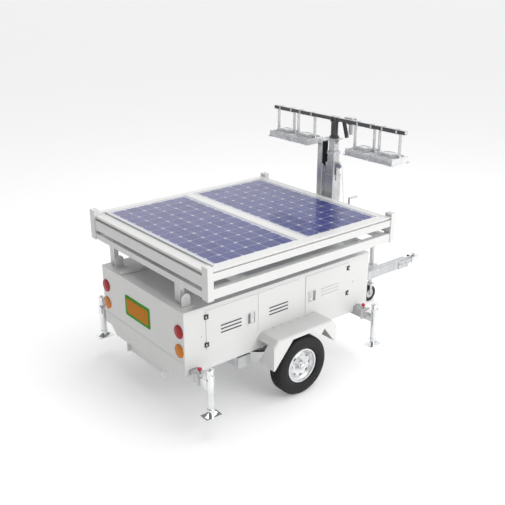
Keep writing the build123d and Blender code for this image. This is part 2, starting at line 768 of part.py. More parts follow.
def array_frame():
    pieces = []
    between_x, between_y = deck_spans()
    rear = (deck_rear + deck_set_back, deck_rear + deck_set_back + deck_rail)
    front = (deck_front - deck_set_back - deck_rail, deck_front - deck_set_back)
    side_low = deck_half - deck_set_back - deck_rail
    for x in ((deck_rear, deck_rear + post_x), (deck_front - post_x, deck_front)):
        for side in SIDES.values():
            y = outward(side, deck_half - post_y, deck_half)
            pieces.append(box_tube(x, y, (post_bottom, post_top), deck_wall, 2))
    for x in (rear, front):
        for z in (end_upper_rail, end_lower_rail):
            pieces.append(box_tube(x, between_y, z, deck_wall, 1))
    for z in (upper_rail, lower_rail):
        for side in SIDES.values():
            y = outward(side, side_low, side_low + deck_rail)
            pieces.append(box_tube(between_x, y, z, deck_wall, 0))
    inner_y = (-side_low, side_low)
    for x in purlin_places():
        top = module_bottom()
        pieces.append(box_tube(span(x, purlin_width), inner_y, (top - purlin_depth, top), deck_wall, 1))
    for x in (between_x[0] + 400, between_x[1] - 400):
        pieces.append(box_tube(span(x, 50), inner_y, lower_rail, deck_wall, 1))
    for x in (rear, front):
        for y in leg_y:
            if x is rear:
                pieces.append(hinge_leg(y))
            else:
                foot = (front[0] - 6, front[0] + leg_size[0] - 6)
                pieces.append(box_tube(foot, span(y, leg_size[1]), (body_top + 8 + weld_gap, lower_rail[0]), 4, 2))
    keep_group(pieces + deck_strips(), "array_frame")


def hinge_leg(y):
    """A rear leg, bored for the tilt pin."""
    with BuildPart() as leg:
        block(span(tilt_x, leg_size[0]), span(y, leg_size[1]), (tilt_z - 66, lower_rail[0]))
        crosswise(tilt_x, span(y, leg_size[1] + 2), tilt_z, tilt_pin_r + 0.05, mode=Mode.SUBTRACT)
    return leg.part


def module_bottom():
    return glass_height + 4 - module_depth


def purlin_places():
    """Two cross bars under each module, a quarter of its width from its edges."""
    return [x + module_width * part for x in module_x for part in (0.2, 0.8)]


def deck_strips():
    """The flat top strips around and between the modules, on their set-back spacers."""
    strips = []
    between_x, between_y = deck_spans()
    rear_edge = module_x[0] - 4
    front_edge = module_x[1] + module_width + 4
    outer_x = (deck_rear + 22, deck_front - 22)
    module_edge = module_length / 2 + 4
    outer_y = deck_half - 22
    for x in ((outer_x[0], rear_edge), (front_edge, outer_x[1])):
        with BuildPart() as strip:
            block(x, between_y, end_strip_z)
            middle = (max(x[0], outer_x[0] + 26), min(x[1], outer_x[1] - 26))
            block(middle, between_y, (end_upper_rail[1], end_strip_z[0]))
            hollow_z = (end_upper_rail[1] - 1, end_strip_z[1] - deck_wall)
            block(grown(middle, -deck_wall), grown(between_y, -deck_wall), hollow_z, mode=Mode.SUBTRACT)
        strips.append(strip.part)
    for side in SIDES.values():
        with BuildPart() as strip:
            x = (rear_edge, front_edge)
            middle = outward(side, module_edge + 14, outer_y - 26)
            block(x, outward(side, module_edge, outer_y), strip_z)
            block(x, middle, (upper_rail[1], strip_z[0]))
            hollow_z = (upper_rail[1] - 1, strip_z[1] - deck_wall)
            block(grown(x, -deck_wall), grown(middle, -deck_wall), hollow_z, mode=Mode.SUBTRACT)
            for end in ((between_x[0], rear_edge), (front_edge, between_x[1])):
                block(end, outward(side, deck_half - post_y, outer_y), strip_z)
        strips.append(strip.part)
    with BuildPart() as centre:
        x = (module_x[0] + module_width + 4, module_x[1] - 4)
        block(x, (-module_edge, module_edge), (module_bottom(), strip_z[1] - 3))
        block(grown(x, -12), (-module_edge - 1, module_edge + 1), (module_bottom() - 1, strip_z[1] - 7),
              mode=Mode.SUBTRACT)
    strips.append(centre.part)
    return strips


def solar_modules():
    frames, laminates = [], []
    y = (-module_length / 2, module_length / 2)
    z = (module_bottom(), module_bottom() + module_depth)
    for low_x in module_x:
        x = (low_x, low_x + module_width)
        with BuildPart() as frame:
            block(x, y, z)
            block(grown(x, -module_lip), grown(y, -module_lip), grown(z, 1), mode=Mode.SUBTRACT)
        frames.append(frame.part)
        with BuildPart() as laminate:
            block(grown(x, -module_lip), grown(y, -module_lip), (glass_height - laminate_thick, glass_height))
            block(span(low_x + module_width / 2, 110), span(module_length * 0.4, 90),
                  (glass_height - laminate_thick - 22, glass_height - laminate_thick))
        laminates.append(laminate.part)
    keep_group(frames, "module_frames")
    keep_group(laminates, "module_laminates")


def tilt_lugs():
    """Roof plates with a round-topped lug and the tilt pin at the rear, and rest pads at the front."""
    pieces = []
    for y in leg_y:
        lug_y = y + lug_offset
        with BuildPart() as lug:
            block(span(tilt_x, 130), span(lug_y - 10, 90), (body_top, body_top + 6))
            block(span(tilt_x, 2 * lug_r), span(lug_y, lug_thick), (body_top, tilt_z))
            crosswise(tilt_x, span(lug_y, lug_thick), tilt_z, lug_r)
            crosswise(tilt_x, (lug_y - lug_thick, y + leg_size[1] / 2 + 8), tilt_z, tilt_pin_r)
            block(span(tilt_x, 14), (lug_y + lug_thick / 2, y - leg_size[1] / 2 - 1), span(tilt_z, 14))
        pieces.append(lug.part)
        front_leg = deck_front - deck_set_back - deck_rail - 6
        with BuildPart() as pad:
            block((front_leg - 5, min(front_leg + leg_size[0] + 5, front_x - 2)), span(y, leg_size[1] + 20),
                  (body_top, body_top + 8))
        pieces.append(pad.part)
    keep_group(pieces, "tilt_lugs")


# ---------------------------------------------------------------- mast
def square(size, x=0, y=0):
    return span(mast_x + x, size), span(y, size)


def mast_section(index):
    """A square section; its collar guides the next one, and its foot ring runs in the one outside."""
    size, start, top = mast_size[index], mast_start[index], mast_top[index]
    inner = size - 2 * mast_wall
    last = index == len(mast_size) - 1
    with BuildPart() as section:
        block(*square(size), (start, top))
        if not last:
            block(*square(size + collar_lip[index]), (top - collar_height, top))
            block(*square(inner), (start - 1, top - collar_height / 2), mode=Mode.SUBTRACT)
            block(*square(mast_size[index + 1] + 2 * slide_gap), (start, top + 1), mode=Mode.SUBTRACT)
        if last:
            block(*square(inner), (start - 1, top - 8), mode=Mode.SUBTRACT)
            block(span(mast_x, 110), span(0, 190), (top - 8, top))
            for side in SIDES.values():
                with BuildSketch(Plane.YZ.offset(mast_x - 5)):
                    with BuildLine():
                        Polyline((side * (size / 2 - 1), top - 8), (side * 92, top - 8),
                                 (side * (size / 2 - 1), top - 80), close=True)
                    make_face()
                extrude(amount=10)
        if index:
            outside = mast_size[index - 1] - 2 * mast_wall - 2 * slide_gap
            block(*square(outside), (start, start + foot_ring))
            block(*square(inner), (start - 1, start + foot_ring + 1), mode=Mode.SUBTRACT)
        else:
            rope_guard(size)
    keep(section, ("mast_outer", "mast_stage_2", "mast_stage_3", "mast_stage_4")[index])


def rope_guard(size):
    """The sheave bracket at the top of the outer section and the winch bracket lower down."""
    for x in (mast_x - 17, mast_x + 11):
        block((x, x + 6), (sheave_y - 20, -size / 2), (sheave_z - 24, sheave_z + 24))
        lengthwise((x - 1, x + 7), sheave_y, sheave_z, 6.05, mode=Mode.SUBTRACT)
    block(span(mast_x, 34), (sheave_y + sheave_r + 2, -size / 2), (mast_top[0] - 66, sheave_z + 24))
    block(span(mast_x, 96), (-size / 2 - 6, -size / 2), (winch_z - 90, winch_z + 90))


def mast_column():
    """The fixed column beside the mast, with the bracket that holds the top of the coiled cable."""
    with BuildPart() as column:
        x, y = span(column_x, column_size), span(column_y, column_size)
        block(x, y, (mast_bottom, column_top))
        block(grown(x, -tube_wall), grown(y, -tube_wall), (mast_bottom - 1, column_top - tube_wall), mode=Mode.SUBTRACT)
        block(x, (column_y + column_size / 2 - 6, column_y + column_size / 2), (column_top, coil_top + 8))
        block((conduit_x - coil_r - 8, x[1]), (conduit_y - coil_r + 4, y[1]), (coil_top, coil_top + 8))
        for z in (900, 1500, 1880):
            back_x = conduit_x + conduit_r
            block((back_x + 4, x[1]), (mast_size[0] / 2, y[0]), span(z, 60))
            block((back_x - 3, back_x + 5), span(conduit_y, 30), span(z, 30))
            upright(conduit_x, conduit_y, conduit_r, grown(span(z, 30), 1), mode=Mode.SUBTRACT)
    keep_group([column.part, cable_conduit()], "mast_column")


def cable_conduit():
    with BuildPart() as conduit:
        upright(conduit_x, conduit_y, conduit_r, (mast_bottom, conduit_top))
        upright(conduit_x, conduit_y, conduit_r - 3, (mast_bottom - 1, conduit_top - 8), mode=Mode.SUBTRACT)
        upright(conduit_x, conduit_y, conduit_r - 8, (conduit_top, conduit_top + 14))
    return conduit.part


def coiled_cable():
    with BuildPart() as coil:
        upright(conduit_x, conduit_y, coil_r, (conduit_top + 14, coil_top))
    keep(coil, "coiled_cable")


def winch():
    length = (mast_x - 48, mast_x + 48)
    with BuildPart() as frame:
        for x in (length[0], length[1] - 6):
            block((x, x + 6), (winch_y - 50, -mast_size[0] / 2 - 6), span(winch_z, 110))
            lengthwise((x - 1, x + 7), winch_y, winch_z, 10.05, mode=Mode.SUBTRACT)
        block(length, (-mast_size[0] / 2 - 12, -mast_size[0] / 2 - 6), span(winch_z, 150))
    keep(frame, "winch_frame")
    with BuildPart() as drum:
        lengthwise((length[0] - 12, crank_x), winch_y, winch_z, 10)
        lengthwise((length[0] + 7, length[1] - 7), winch_y, winch_z, drum_r)
        for x in (length[0] + 7, length[1] - 13):
            lengthwise((x, x + 6), winch_y, winch_z, drum_r + 15)
        block((crank_x - 8, crank_x), (winch_y - 14, winch_y + 14), (winch_z - 16, winch_z + crank_arm))
        lengthwise((crank_x, crank_x + 130), winch_y, winch_z + crank_arm - 14, 13)
        fillet(drum.faces().sort_by(Axis.X)[-1].edges(), 5)
    keep(drum, "winch_drum")


def winch_rope():
    """The taut rope from the sheave down to the drum, with the sheave."""
    run_top = Vector(mast_x, sheave_y - sheave_r - rope_r - weld_gap, sheave_z)
    run_end = Vector(mast_x, winch_y - drum_r - rope_r - weld_gap, winch_z)
    with BuildPart() as rope:
        with BuildLine():
            Line(run_top, run_end)
        with BuildSketch(Plane(origin=run_top, z_dir=run_end - run_top)):
            Circle(rope_r)
        sweep()
    with BuildPart() as sheave:
        lengthwise(span(mast_x, 20), sheave_y, sheave_z, sheave_r)
        lengthwise(span(mast_x, 46), sheave_y, sheave_z, 6)
    keep_group([rope.part, sheave.part], "winch_rope")


# ---------------------------------------------------------------- lamp head
def light_bar():
    top = mast_top[-1] + weld_gap
    with BuildPart() as head:
        upright(mast_x, 0, head_r + 14, (top, top + 22))
        upright(mast_x, 0, head_r, (top + 22, bar_z - bar_size / 2))
        block(span(mast_x, bar_size), (-bar_half, bar_half), span(bar_z, bar_size))
        block(span(mast_x, bar_size - 8), (-bar_half - 1, -110), span(bar_z, bar_size - 8), mode=Mode.SUBTRACT)
        block(span(mast_x, bar_size - 8), (110, bar_half + 1), span(bar_z, bar_size - 8), mode=Mode.SUBTRACT)
        for y in (-34, 34):
            block(span(mast_x, bar_size + 16), span(y, 24), (bar_z - bar_size / 2 - 16, bar_z + bar_size / 2 + 8))
        stay_x = mast_x + (bar_size + stay_width) / 2
        with Locations(Location((stay_x, stay_y, bar_z - stay_length / 2 + 10), (stay_slant, 0, 0))):
            with Locations((0, -12, 0), (0, 12, 0)):
                Box(stay_width, 6, stay_length)
            with Locations((0, 0, -stay_length / 2)):
                Box(stay_width, 30, 6)
        block((mast_x + bar_size / 2, mast_x + bar_size / 2 + 70), (-250, -130), (bar_z - 40, bar_z + 34))
    keep(head, "light_bar")


def lamp_brackets():
    brackets = []
    under = bar_z - bar_size / 2
    for side in SIDES.values():
        for y in lamp_y:
            with BuildPart() as bracket:
                middle = side * y
                block(span(mast_x, strap_width), span(middle, 2 * strap_reach + strap_thick),
                      (under - strap_thick, under))
                for way in (1, -1):
                    arm = span(middle + way * strap_reach, strap_thick)
                    block(span(mast_x, strap_width), arm, (lamp_pivot_z, under))
                    crosswise(mast_x, arm, lamp_pivot_z, strap_width / 2)
                    crosswise(mast_x, span(middle + way * strap_reach, strap_thick + 2), lamp_pivot_z, 8.05,
                              mode=Mode.SUBTRACT)
            brackets.append(bracket.part)
    keep_group(brackets, "lamp_brackets")


def floodlight(name, y):
    """A flat lamp with a finned back; its two pivots turn in the bracket's arms."""
    length, width, depth = lamp_size
    low = lamp_pivot_z - lamp_drop
    top = low + lamp_case
    inner = 2 * strap_reach - strap_thick - 2
    with BuildPart() as lamp:
        block(span(mast_x, length), span(y, width), (low, top))
        chamfer(lamp.edges().filter_by(Axis.Z), 16)
        block(span(mast_x, length - 40), span(y, inner - 10), (top, top + 6))
        for step in range(-5, 6):
            block(span(mast_x + step * 20, 4), span(y, inner - 24), (top + 4, low + depth + 12))
        block(span(mast_x, 120), span(y, 130), (top + 4, low + depth + 26))
        for way in (1, -1):
            reach = y + way * (strap_reach - strap_thick / 2 - 1)
            block(span(mast_x, 36), tuple(sorted((reach, reach - way * 10))), (top, lamp_pivot_z + 14))
            crosswise(mast_x, tuple(sorted((reach - way * 2, y + way * (strap_reach + 8)))), lamp_pivot_z, 8)
    keep(lamp, f"floodlight_{name}")


# ---------------------------------------------------------------- build
def main():
    chassis_frame()
    drawbar()
    coupling_head()
    coupling_lever()
    body_shell()
    centre_panels()
    door_hinges()
    tail_lamps()
    rear_apron()
    power_pack()
    fenders()
    keep_group([axle_beam(), *leaf_springs()], "axle_and_springs")
    jockey_wheel_set()
    array_frame()
    solar_modules()
    tilt_lugs()
    for index in range(len(mast_size)):
        mast_section(index)
    mast_column()
    coiled_cable()
    winch()
    winch_rope()
    light_bar()
    lamp_brackets()
    for name, side in SIDES.items():
        tyre(name, side)
        wheel_rim(name, side)
        door(f"rear_{name}", rear_door, -1, side)
        door(f"front_{name}", front_door, 1, side)
        floodlight(f"{name}_outer", side * lamp_y[0])
        floodlight(f"{name}_inner", side * lamp_y[1])
        for end in jack_x:
            outrigger(end, name, side)


main()
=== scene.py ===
"""The looks of a towable solar lighting tower, built around its fixed frame.

Metres. +X towards the coupling, +Y to the left, +Z up, the origin on the ground below the middle.
"""
import json
from math import cos, pi, radians, sin, sqrt, tan

import bpy
from mathutils import Matrix, Vector


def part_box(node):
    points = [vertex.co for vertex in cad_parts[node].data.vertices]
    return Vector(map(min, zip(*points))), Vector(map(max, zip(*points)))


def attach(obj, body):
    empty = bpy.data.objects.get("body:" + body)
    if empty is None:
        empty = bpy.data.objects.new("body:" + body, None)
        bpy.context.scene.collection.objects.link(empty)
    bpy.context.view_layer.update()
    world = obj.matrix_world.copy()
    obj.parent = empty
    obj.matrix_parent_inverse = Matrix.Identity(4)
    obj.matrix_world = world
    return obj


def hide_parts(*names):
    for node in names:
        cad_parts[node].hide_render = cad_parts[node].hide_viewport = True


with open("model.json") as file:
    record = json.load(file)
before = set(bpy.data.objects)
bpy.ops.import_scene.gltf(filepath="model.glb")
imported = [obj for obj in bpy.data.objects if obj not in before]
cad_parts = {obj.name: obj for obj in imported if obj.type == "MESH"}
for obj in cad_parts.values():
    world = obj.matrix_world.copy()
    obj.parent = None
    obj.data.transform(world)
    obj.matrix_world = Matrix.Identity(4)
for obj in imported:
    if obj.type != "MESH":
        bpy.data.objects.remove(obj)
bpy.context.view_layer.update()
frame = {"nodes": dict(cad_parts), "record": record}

SIDES = {"left": 1, "right": -1}
ENDS = ("rear", "front")
SMOOTH_ANGLE = radians(34)
TURNS = {"Z": (0, 0, 0), "-Z": (pi, 0, 0), "X": (0, pi / 2, 0), "-X": (0, -pi / 2, 0),
         "Y": (-pi / 2, 0, 0), "-Y": (pi / 2, 0, 0)}


# ---------------------------------------------------------------- modelling helpers
def clear():
    """Leave edit mode and select nothing."""
    if bpy.context.object and bpy.context.object.mode != "OBJECT":
        bpy.ops.object.mode_set(mode="OBJECT")
    bpy.ops.object.select_all(action="DESELECT")


def pick(piece):
    """Select one piece alone."""
    clear()
    piece.select_set(True)
    bpy.context.view_layer.objects.active = piece


def edit(piece):
    pick(piece)
    bpy.ops.object.mode_set(mode="EDIT")
    bpy.ops.mesh.select_all(action="SELECT")


def take_faces(piece, test):
    """In edit mode, select the faces whose middle and normal pass a test."""
    bpy.ops.mesh.select_mode(type="FACE")
    bpy.ops.mesh.select_all(action="DESELECT")
    bpy.ops.object.mode_set(mode="OBJECT")
    for face in piece.data.polygons:
        face.select = test(face.center, face.normal)
    bpy.ops.object.mode_set(mode="EDIT")


def done(piece):
    bpy.ops.object.mode_set(mode="OBJECT")
    return piece


def settle(piece):
    """Put the piece's place, turn and size into its mesh."""
    pick(piece)
    bpy.ops.object.transform_apply(location=True, rotation=True, scale=True)
    return piece


def tidy_normals(piece):
    edit(piece)
    bpy.ops.mesh.remove_doubles(threshold=0.00002)
    bpy.ops.mesh.normals_make_consistent(inside=False)
    return done(piece)


def bar(name, low, high, edge=0.002, segments=2):
    """A block between two corners with rounded edges."""
    clear()
    low, high = Vector(low), Vector(high)
    bpy.ops.mesh.primitive_cube_add(size=1, location=(low + high) / 2)
    piece = bpy.context.object
    piece.name = name
    piece.scale = [abs(size) for size in high - low]
    settle(piece)
    edit(piece)
    bpy.ops.mesh.bevel(offset=edge, segments=segments, affect="EDGES")
    return done(piece)


def turned(name, rings, centre=(0, 0, 0), axis="Z", segments=32, capped=True):
    """A body of revolution: (radius, height) rings, extruded one from the other along the axis."""
    clear()
    radius, height = rings[0]
    bpy.ops.mesh.primitive_circle_add(vertices=segments, radius=radius, location=(0, 0, 0),
                                      fill_type="NGON" if capped else "NOTHING")
    piece = bpy.context.object
    piece.name = name
    edit(piece)
    bpy.ops.transform.translate(value=(0, 0, height))
    for next_radius, next_height in rings[1:]:
        if capped:
            bpy.ops.mesh.extrude_region_move(TRANSFORM_OT_translate={"value": (0, 0, next_height - height)})
        else:
            bpy.ops.mesh.extrude_edges_move(TRANSFORM_OT_translate={"value": (0, 0, next_height - height)})
        scale = next_radius / radius
        bpy.ops.transform.resize(value=(scale, scale, 1))
        radius, height = next_radius, next_height
    done(piece)
    tidy_normals(piece)
    piece.rotation_euler = TURNS[axis]
    piece.location = centre
    return settle(piece)


def copied(piece, name, offset, turn=0, mirror_y=False):
    """A copy with a mesh of its own, turned about Z or mirrored, then moved."""
    twin = piece.copy()
    twin.data = piece.data.copy()
    twin.name = name
    bpy.context.scene.collection.objects.link(twin)
    twin.data.transform(Matrix.Rotation(turn, 4, "Z"))
    if mirror_y:
        twin.data.transform(Matrix.Diagonal((1, -1, 1, 1)))
        twin.data.flip_normals()
    twin.data.transform(Matrix.Translation(offset))
    return twin


def joined(name, pieces):
    """Several pieces as one object."""
    clear()
    for piece in pieces:
        piece.select_set(True)
    bpy.context.view_layer.objects.active = pieces[0]
    if len(pieces) > 1:
        bpy.ops.object.join()
    pieces[0].name = name
    return pieces[0]


def removed(piece):
    bpy.data.objects.remove(piece)


def spread(name, model, places):
    """Copies of a model at several places, as one object; the model itself goes."""
    pieces = [copied(model, f"{name}_{index}", Vector(place)) for index, place in enumerate(places)]
    removed(model)
    return joined(name, pieces)


def rounded_plate(name, size, thick, corner, centre, axis="Z", segments=6):
    """A plate with round corners; size is its width and height seen along the axis."""
    clear()
    bpy.ops.mesh.primitive_plane_add(size=1, location=(0, 0, 0))
    piece = bpy.context.object
    piece.name = name
    piece.scale = (size[0], size[1], 1)
    settle(piece)
    edit(piece)
    bpy.ops.mesh.bevel(offset=corner, segments=segments, affect="VERTICES")
    bpy.ops.mesh.select_all(action="SELECT")
    bpy.ops.mesh.extrude_region_move(TRANSFORM_OT_translate={"value": (0, 0, thick)})
    bpy.ops.mesh.select_all(action="SELECT")
    bpy.ops.mesh.normals_make_consistent(inside=False)
    done(piece)
    piece.rotation_euler = TURNS[axis]
    piece.location = centre
    return settle(piece)


def hex_bolt(radius, height, axis):
    """A washer and a hexagon head, standing on the origin."""
    washer = turned("washer", [(radius * 1.5, 0), (radius * 1.5, height * 0.25)], segments=20)
    head = turned("head", [(radius * 0.94, height * 0.25), (radius, height * 0.35), (radius, height * 0.88),
                           (radius * 0.82, height)], segments=6)
    bolt = joined("bolt", [washer, head])
    bolt.rotation_euler = TURNS[axis]
    return settle(bolt)


def bolts(name, places, radius, height, axis):
    return spread(name, hex_bolt(radius, height, axis), places)


def helix(name, wire, radius, pitch, turns, centre, axis="Z", steps=20):
    """A wire wound round an axis, made by a screw modifier from one round section."""
    clear()
    bpy.ops.mesh.primitive_circle_add(vertices=10, radius=wire, location=(0, 0, 0), rotation=(pi / 2, 0, 0))
    piece = bpy.context.object
    piece.name = name
    bpy.ops.object.transform_apply(rotation=True)
    edit(piece)
    bpy.ops.transform.translate(value=(radius, 0, 0))
    done(piece)
    screw = piece.modifiers.new("winding", "SCREW")
    screw.steps = screw.render_steps = steps
    screw.screw_offset = pitch
    screw.iterations = turns
    bpy.ops.object.modifier_apply(modifier="winding")
    edit(piece)
    bpy.ops.mesh.select_all(action="DESELECT")
    bpy.ops.mesh.select_mode(type="VERT")
    bpy.ops.mesh.select_non_manifold()
    bpy.ops.mesh.edge_face_add()
    done(piece)
    tidy_normals(piece)
    piece.rotation_euler = TURNS[axis]
    piece.location = centre
    return settle(piece)


def dressed(piece, body, slot, *nodes, material=None):
    """Give a finished piece its slot's finish or another, its body and the nodes that it stands for."""
    pick(piece)
    bpy.ops.object.shade_smooth_by_angle(angle=SMOOTH_ANGLE)
    piece.data.materials.clear()
    piece.data.materials.append(material or finish[slot])
    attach(piece, body)
    if nodes:
        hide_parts(*nodes)
    return piece


def middle_of(node):
    low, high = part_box(node)
    return (low + high) / 2


# ---------------------------------------------------------------- finishes
class Finish:
    """A material in the making: one Principled shader and the nodes that feed it."""

    def __init__(self, name, colour, roughness, metallic=0.0, **sockets):
        self.material = bpy.data.materials.new(name)
        self.material.use_nodes = True
        self.nodes = self.material.node_tree.nodes
        self.links = self.material.node_tree.links
        self.shader = self.nodes["Principled BSDF"]
        self.place = self.nodes.new("ShaderNodeTexCoord").outputs["Object"]
        self.shader.inputs["Base Color"].default_value = (*colour, 1)
        self.shader.inputs["Roughness"].default_value = roughness
        self.shader.inputs["Metallic"].default_value = metallic
        for socket, value in sockets.items():
            self.shader.inputs[socket.replace("_", " ")].default_value = value

    def add(self, kind, inputs, **settings):
        """Add a node, set its options, and feed its inputs with sockets or plain values."""
        node = self.nodes.new(kind)
        for option, value in settings.items():
            setattr(node, option, value)
        for key, value in inputs.items():
            if isinstance(value, bpy.types.NodeSocket):
                self.links.new(value, node.inputs[key])
            else:
                node.inputs[key].default_value = value
        return node

    def stretched(self, stretch):
        return self.add("ShaderNodeMapping", {"Vector": self.place, "Scale": stretch}).outputs[0]

    def noise(self, scale, detail=4, stretch=(1, 1, 1)):
        where = self.stretched(stretch)
        return self.add("ShaderNodeTexNoise", {"Vector": where, "Scale": scale,
                                               "Detail": detail}).outputs["Fac"]

    def crystals(self, scale):
        return self.add("ShaderNodeTexVoronoi", {"Vector": self.place, "Scale": scale}).outputs["Color"]

    def along(self, axis):
        return self.add("ShaderNodeSeparateXYZ", {0: self.place}).outputs[axis]

    def sum(self, operation, first, second):
        return self.add("ShaderNodeMath", {0: first, 1: second}, operation=operation).outputs[0]

    def between(self, value, low, high, to_low=0.0, to_high=1.0):
        return self.add("ShaderNodeMapRange", {"Value": value, "From Min": low, "From Max": high,
                                               "To Min": to_low, "To Max": to_high}).outputs[0]

    def blend(self, share, first, second):
        """A colour from first to second by share."""
        node = self.nodes.new("ShaderNodeMix")
        node.data_type = "RGBA"
        for index, value in ((0, share), (6, first), (7, second)):
            if isinstance(value, bpy.types.NodeSocket):
                self.links.new(value, node.inputs[index])
            else:
                node.inputs[index].default_value = value if index == 0 else (*value, 1)
        return node.outputs[2]

    def colour(self, socket):
        self.links.new(socket, self.shader.inputs["Base Color"])

    def roughness(self, socket):
        self.links.new(socket, self.shader.inputs["Roughness"])

    def bump(self, height, depth, strength=1.0):
        node = self.add("ShaderNodeBump", {"Height": height, "Distance": depth, "Strength": strength})
        self.links.new(node.outputs[0], self.shader.inputs["Normal"])


def painted(name, colour, worn, roughness, coat=0.25, shine=0.5):
    """Powder coat: faint orange peel, a little unevenness, and dust that gathers low down."""
    paint = Finish(name, colour, roughness, Coat_Weight=coat, Coat_Roughness=0.18, Specular_IOR_Level=shine)
    cloud = paint.between(paint.noise(2.2, 6), 0.35, 0.7)
    fine = paint.between(paint.noise(38, 5), 0.42, 0.78)
    low_down = paint.between(paint.along("Z"), 0.25, 0.95, 1.0, 0.12)
    dust = paint.sum("MULTIPLY", paint.sum("MULTIPLY", fine, low_down), 0.08)
    tone = paint.blend(cloud, colour, [part * 0.965 for part in colour])
    paint.colour(paint.blend(dust, tone, worn))
    paint.roughness(paint.between(fine, 0, 1, roughness - 0.05, roughness + 0.12))
    paint.bump(paint.noise(520, 2), 0.00012, 0.5)
    return paint.material


def galvanised_steel(name="galvanised_steel"):
    """Dull zinc with soft crystals and long rain marks."""
    zinc = Finish(name, (0.60, 0.61, 0.62), 0.4, 0.85)
    flake = zinc.add("ShaderNodeSeparateColor", {0: zinc.crystals(58)}).outputs[0]
    streak = zinc.between(zinc.noise(9, 5, (4, 4, 0.35)), 0.35, 0.7)
    tone = zinc.blend(zinc.sum("MULTIPLY", flake, 0.5), (0.66, 0.67, 0.68), (0.47, 0.485, 0.50))
    zinc.colour(zinc.blend(zinc.sum("MULTIPLY", streak, 0.4), tone, (0.40, 0.405, 0.41)))
    zinc.roughness(zinc.between(flake, 0, 1, 0.32, 0.5))
    zinc.bump(zinc.noise(190, 4), 0.0003, 0.35)
    return zinc.material


def bright_steel():
    """Zinc plated steel, polished by use, with fine turning marks."""
    steel = Finish("bright_steel", (0.78, 0.79, 0.80), 0.16, 1.0)
    marks = steel.noise(46, 5, (1, 1, 22))
    stain = steel.between(steel.noise(7, 5), 0.5, 0.8)
    steel.colour(steel.blend(steel.sum("MULTIPLY", stain, 0.45), (0.80, 0.81, 0.82), (0.50, 0.50, 0.51)))
    steel.roughness(steel.between(marks, 0.3, 0.7, 0.10, 0.26))
    steel.bump(marks, 0.0001, 0.25)
    return steel.material


def bar_steel():
    """The light bar's dark sides, with a painted highlight along the top face."""
    steel = Finish("bar_steel", (0.09, 0.09, 0.095), 0.35, 0.5)
    streak = steel.between(steel.noise(14, 5, (1, 0.3, 1)), 0.3, 0.7)
    tone = steel.blend(streak, (0.075, 0.075, 0.08), (0.12, 0.12, 0.125))
    # painted highlight: pale grey above z 2.634 to 2.637, where the top face catches the light
    steel.colour(steel.blend(steel.between(steel.along("Z"), 2.634, 2.637), tone, (0.62, 0.63, 0.64)))
    steel.roughness(steel.between(streak, 0, 1, 0.28, 0.42))
    steel.bump(streak, 0.0001, 0.25)
    return steel.material


def silver_wheel_paint():
    silver = Finish("silver_wheel_paint", (0.76, 0.77, 0.78), 0.3, 0.45, Coat_Weight=0.4,
                    Coat_Roughness=0.1)
    fleck = silver.between(silver.noise(900, 2), 0.4, 0.6)
    brake_dust = silver.between(silver.noise(14, 6), 0.48, 0.8, 0, 0.5)
    tone = silver.blend(fleck, (0.80, 0.81, 0.82), (0.70, 0.71, 0.73))
    silver.colour(silver.blend(brake_dust, tone, (0.25, 0.23, 0.21)))
    silver.roughness(silver.between(brake_dust, 0, 0.5, 0.24, 0.5))
    silver.bump(silver.noise(260, 3), 0.0001, 0.3)
    return silver.material


def dark_rubber(name, colour, roughness, dusty):
    """Rubber: fine grain, paler where it is rubbed and dusty."""
    rubber = Finish(name, colour, roughness, Specular_IOR_Level=0.35)
    grime = rubber.between(rubber.noise(16, 6), 0.42, 0.75)
    rubber.colour(rubber.blend(rubber.sum("MULTIPLY", grime, 0.45), colour, dusty))
    rubber.roughness(rubber.between(grime, 0, 1, roughness - 0.08, roughness + 0.1))
    rubber.bump(rubber.noise(420, 4), 0.0003, 0.55)
    return rubber.material


def moulded_plastic(name, colour, roughness, grain=650):
    """Moulded plastic with a spark-eroded grain and slight sun fading."""
    plastic = Finish(name, colour, roughness)
    fade = plastic.between(plastic.noise(6, 4), 0.4, 0.75, 0, 0.35)
    pale = [part * 0.8 + 0.08 for part in colour]
    plastic.colour(plastic.blend(fade, colour, pale))
    plastic.roughness(plastic.between(fade, 0, 0.35, roughness, roughness + 0.14))
    plastic.bump(plastic.noise(grain, 2), 0.00015, 0.4)
    return plastic.material


def lamp_lens(name, colour, deep):
    """A coloured lens with a deep tone between its ribs."""
    lens = Finish(name, colour, 0.2, Coat_Weight=0.12, Coat_Roughness=0.06, Specular_IOR_Level=0.15)
    depth = lens.between(lens.noise(60, 3), 0.35, 0.7)
    lens.colour(lens.blend(depth, colour, deep))
    lens.roughness(lens.between(lens.noise(30, 5), 0.4, 0.8, 0.1, 0.3))
    lens.bump(lens.noise(240, 2), 0.0002, 0.3)
    return lens.material


def cast_housing():
    """Pale grey powder coat over a rough die casting."""
    cast = Finish("cast_housing", (0.74, 0.75, 0.76), 0.42, 0.25)
    cloud = cast.between(cast.noise(18, 5), 0.35, 0.75)
    cast.colour(cast.blend(cloud, (0.78, 0.79, 0.80), (0.62, 0.63, 0.645)))
    cast.roughness(cast.between(cloud, 0, 1, 0.36, 0.55))
    cast.bump(cast.noise(330, 4), 0.0003, 0.5)
    return cast.material


def anodised_frame():
    metal = Finish("anodised_frame", (0.82, 0.83, 0.84), 0.3, 0.9)
    drawn = metal.noise(30, 4, (1, 40, 40))
    metal.colour(metal.blend(metal.between(drawn, 0.3, 0.7), (0.85, 0.86, 0.87), (0.74, 0.75, 0.76)))
    metal.roughness(metal.between(drawn, 0.3, 0.7, 0.24, 0.38))
    metal.bump(drawn, 0.0001, 0.2)
    return metal.material


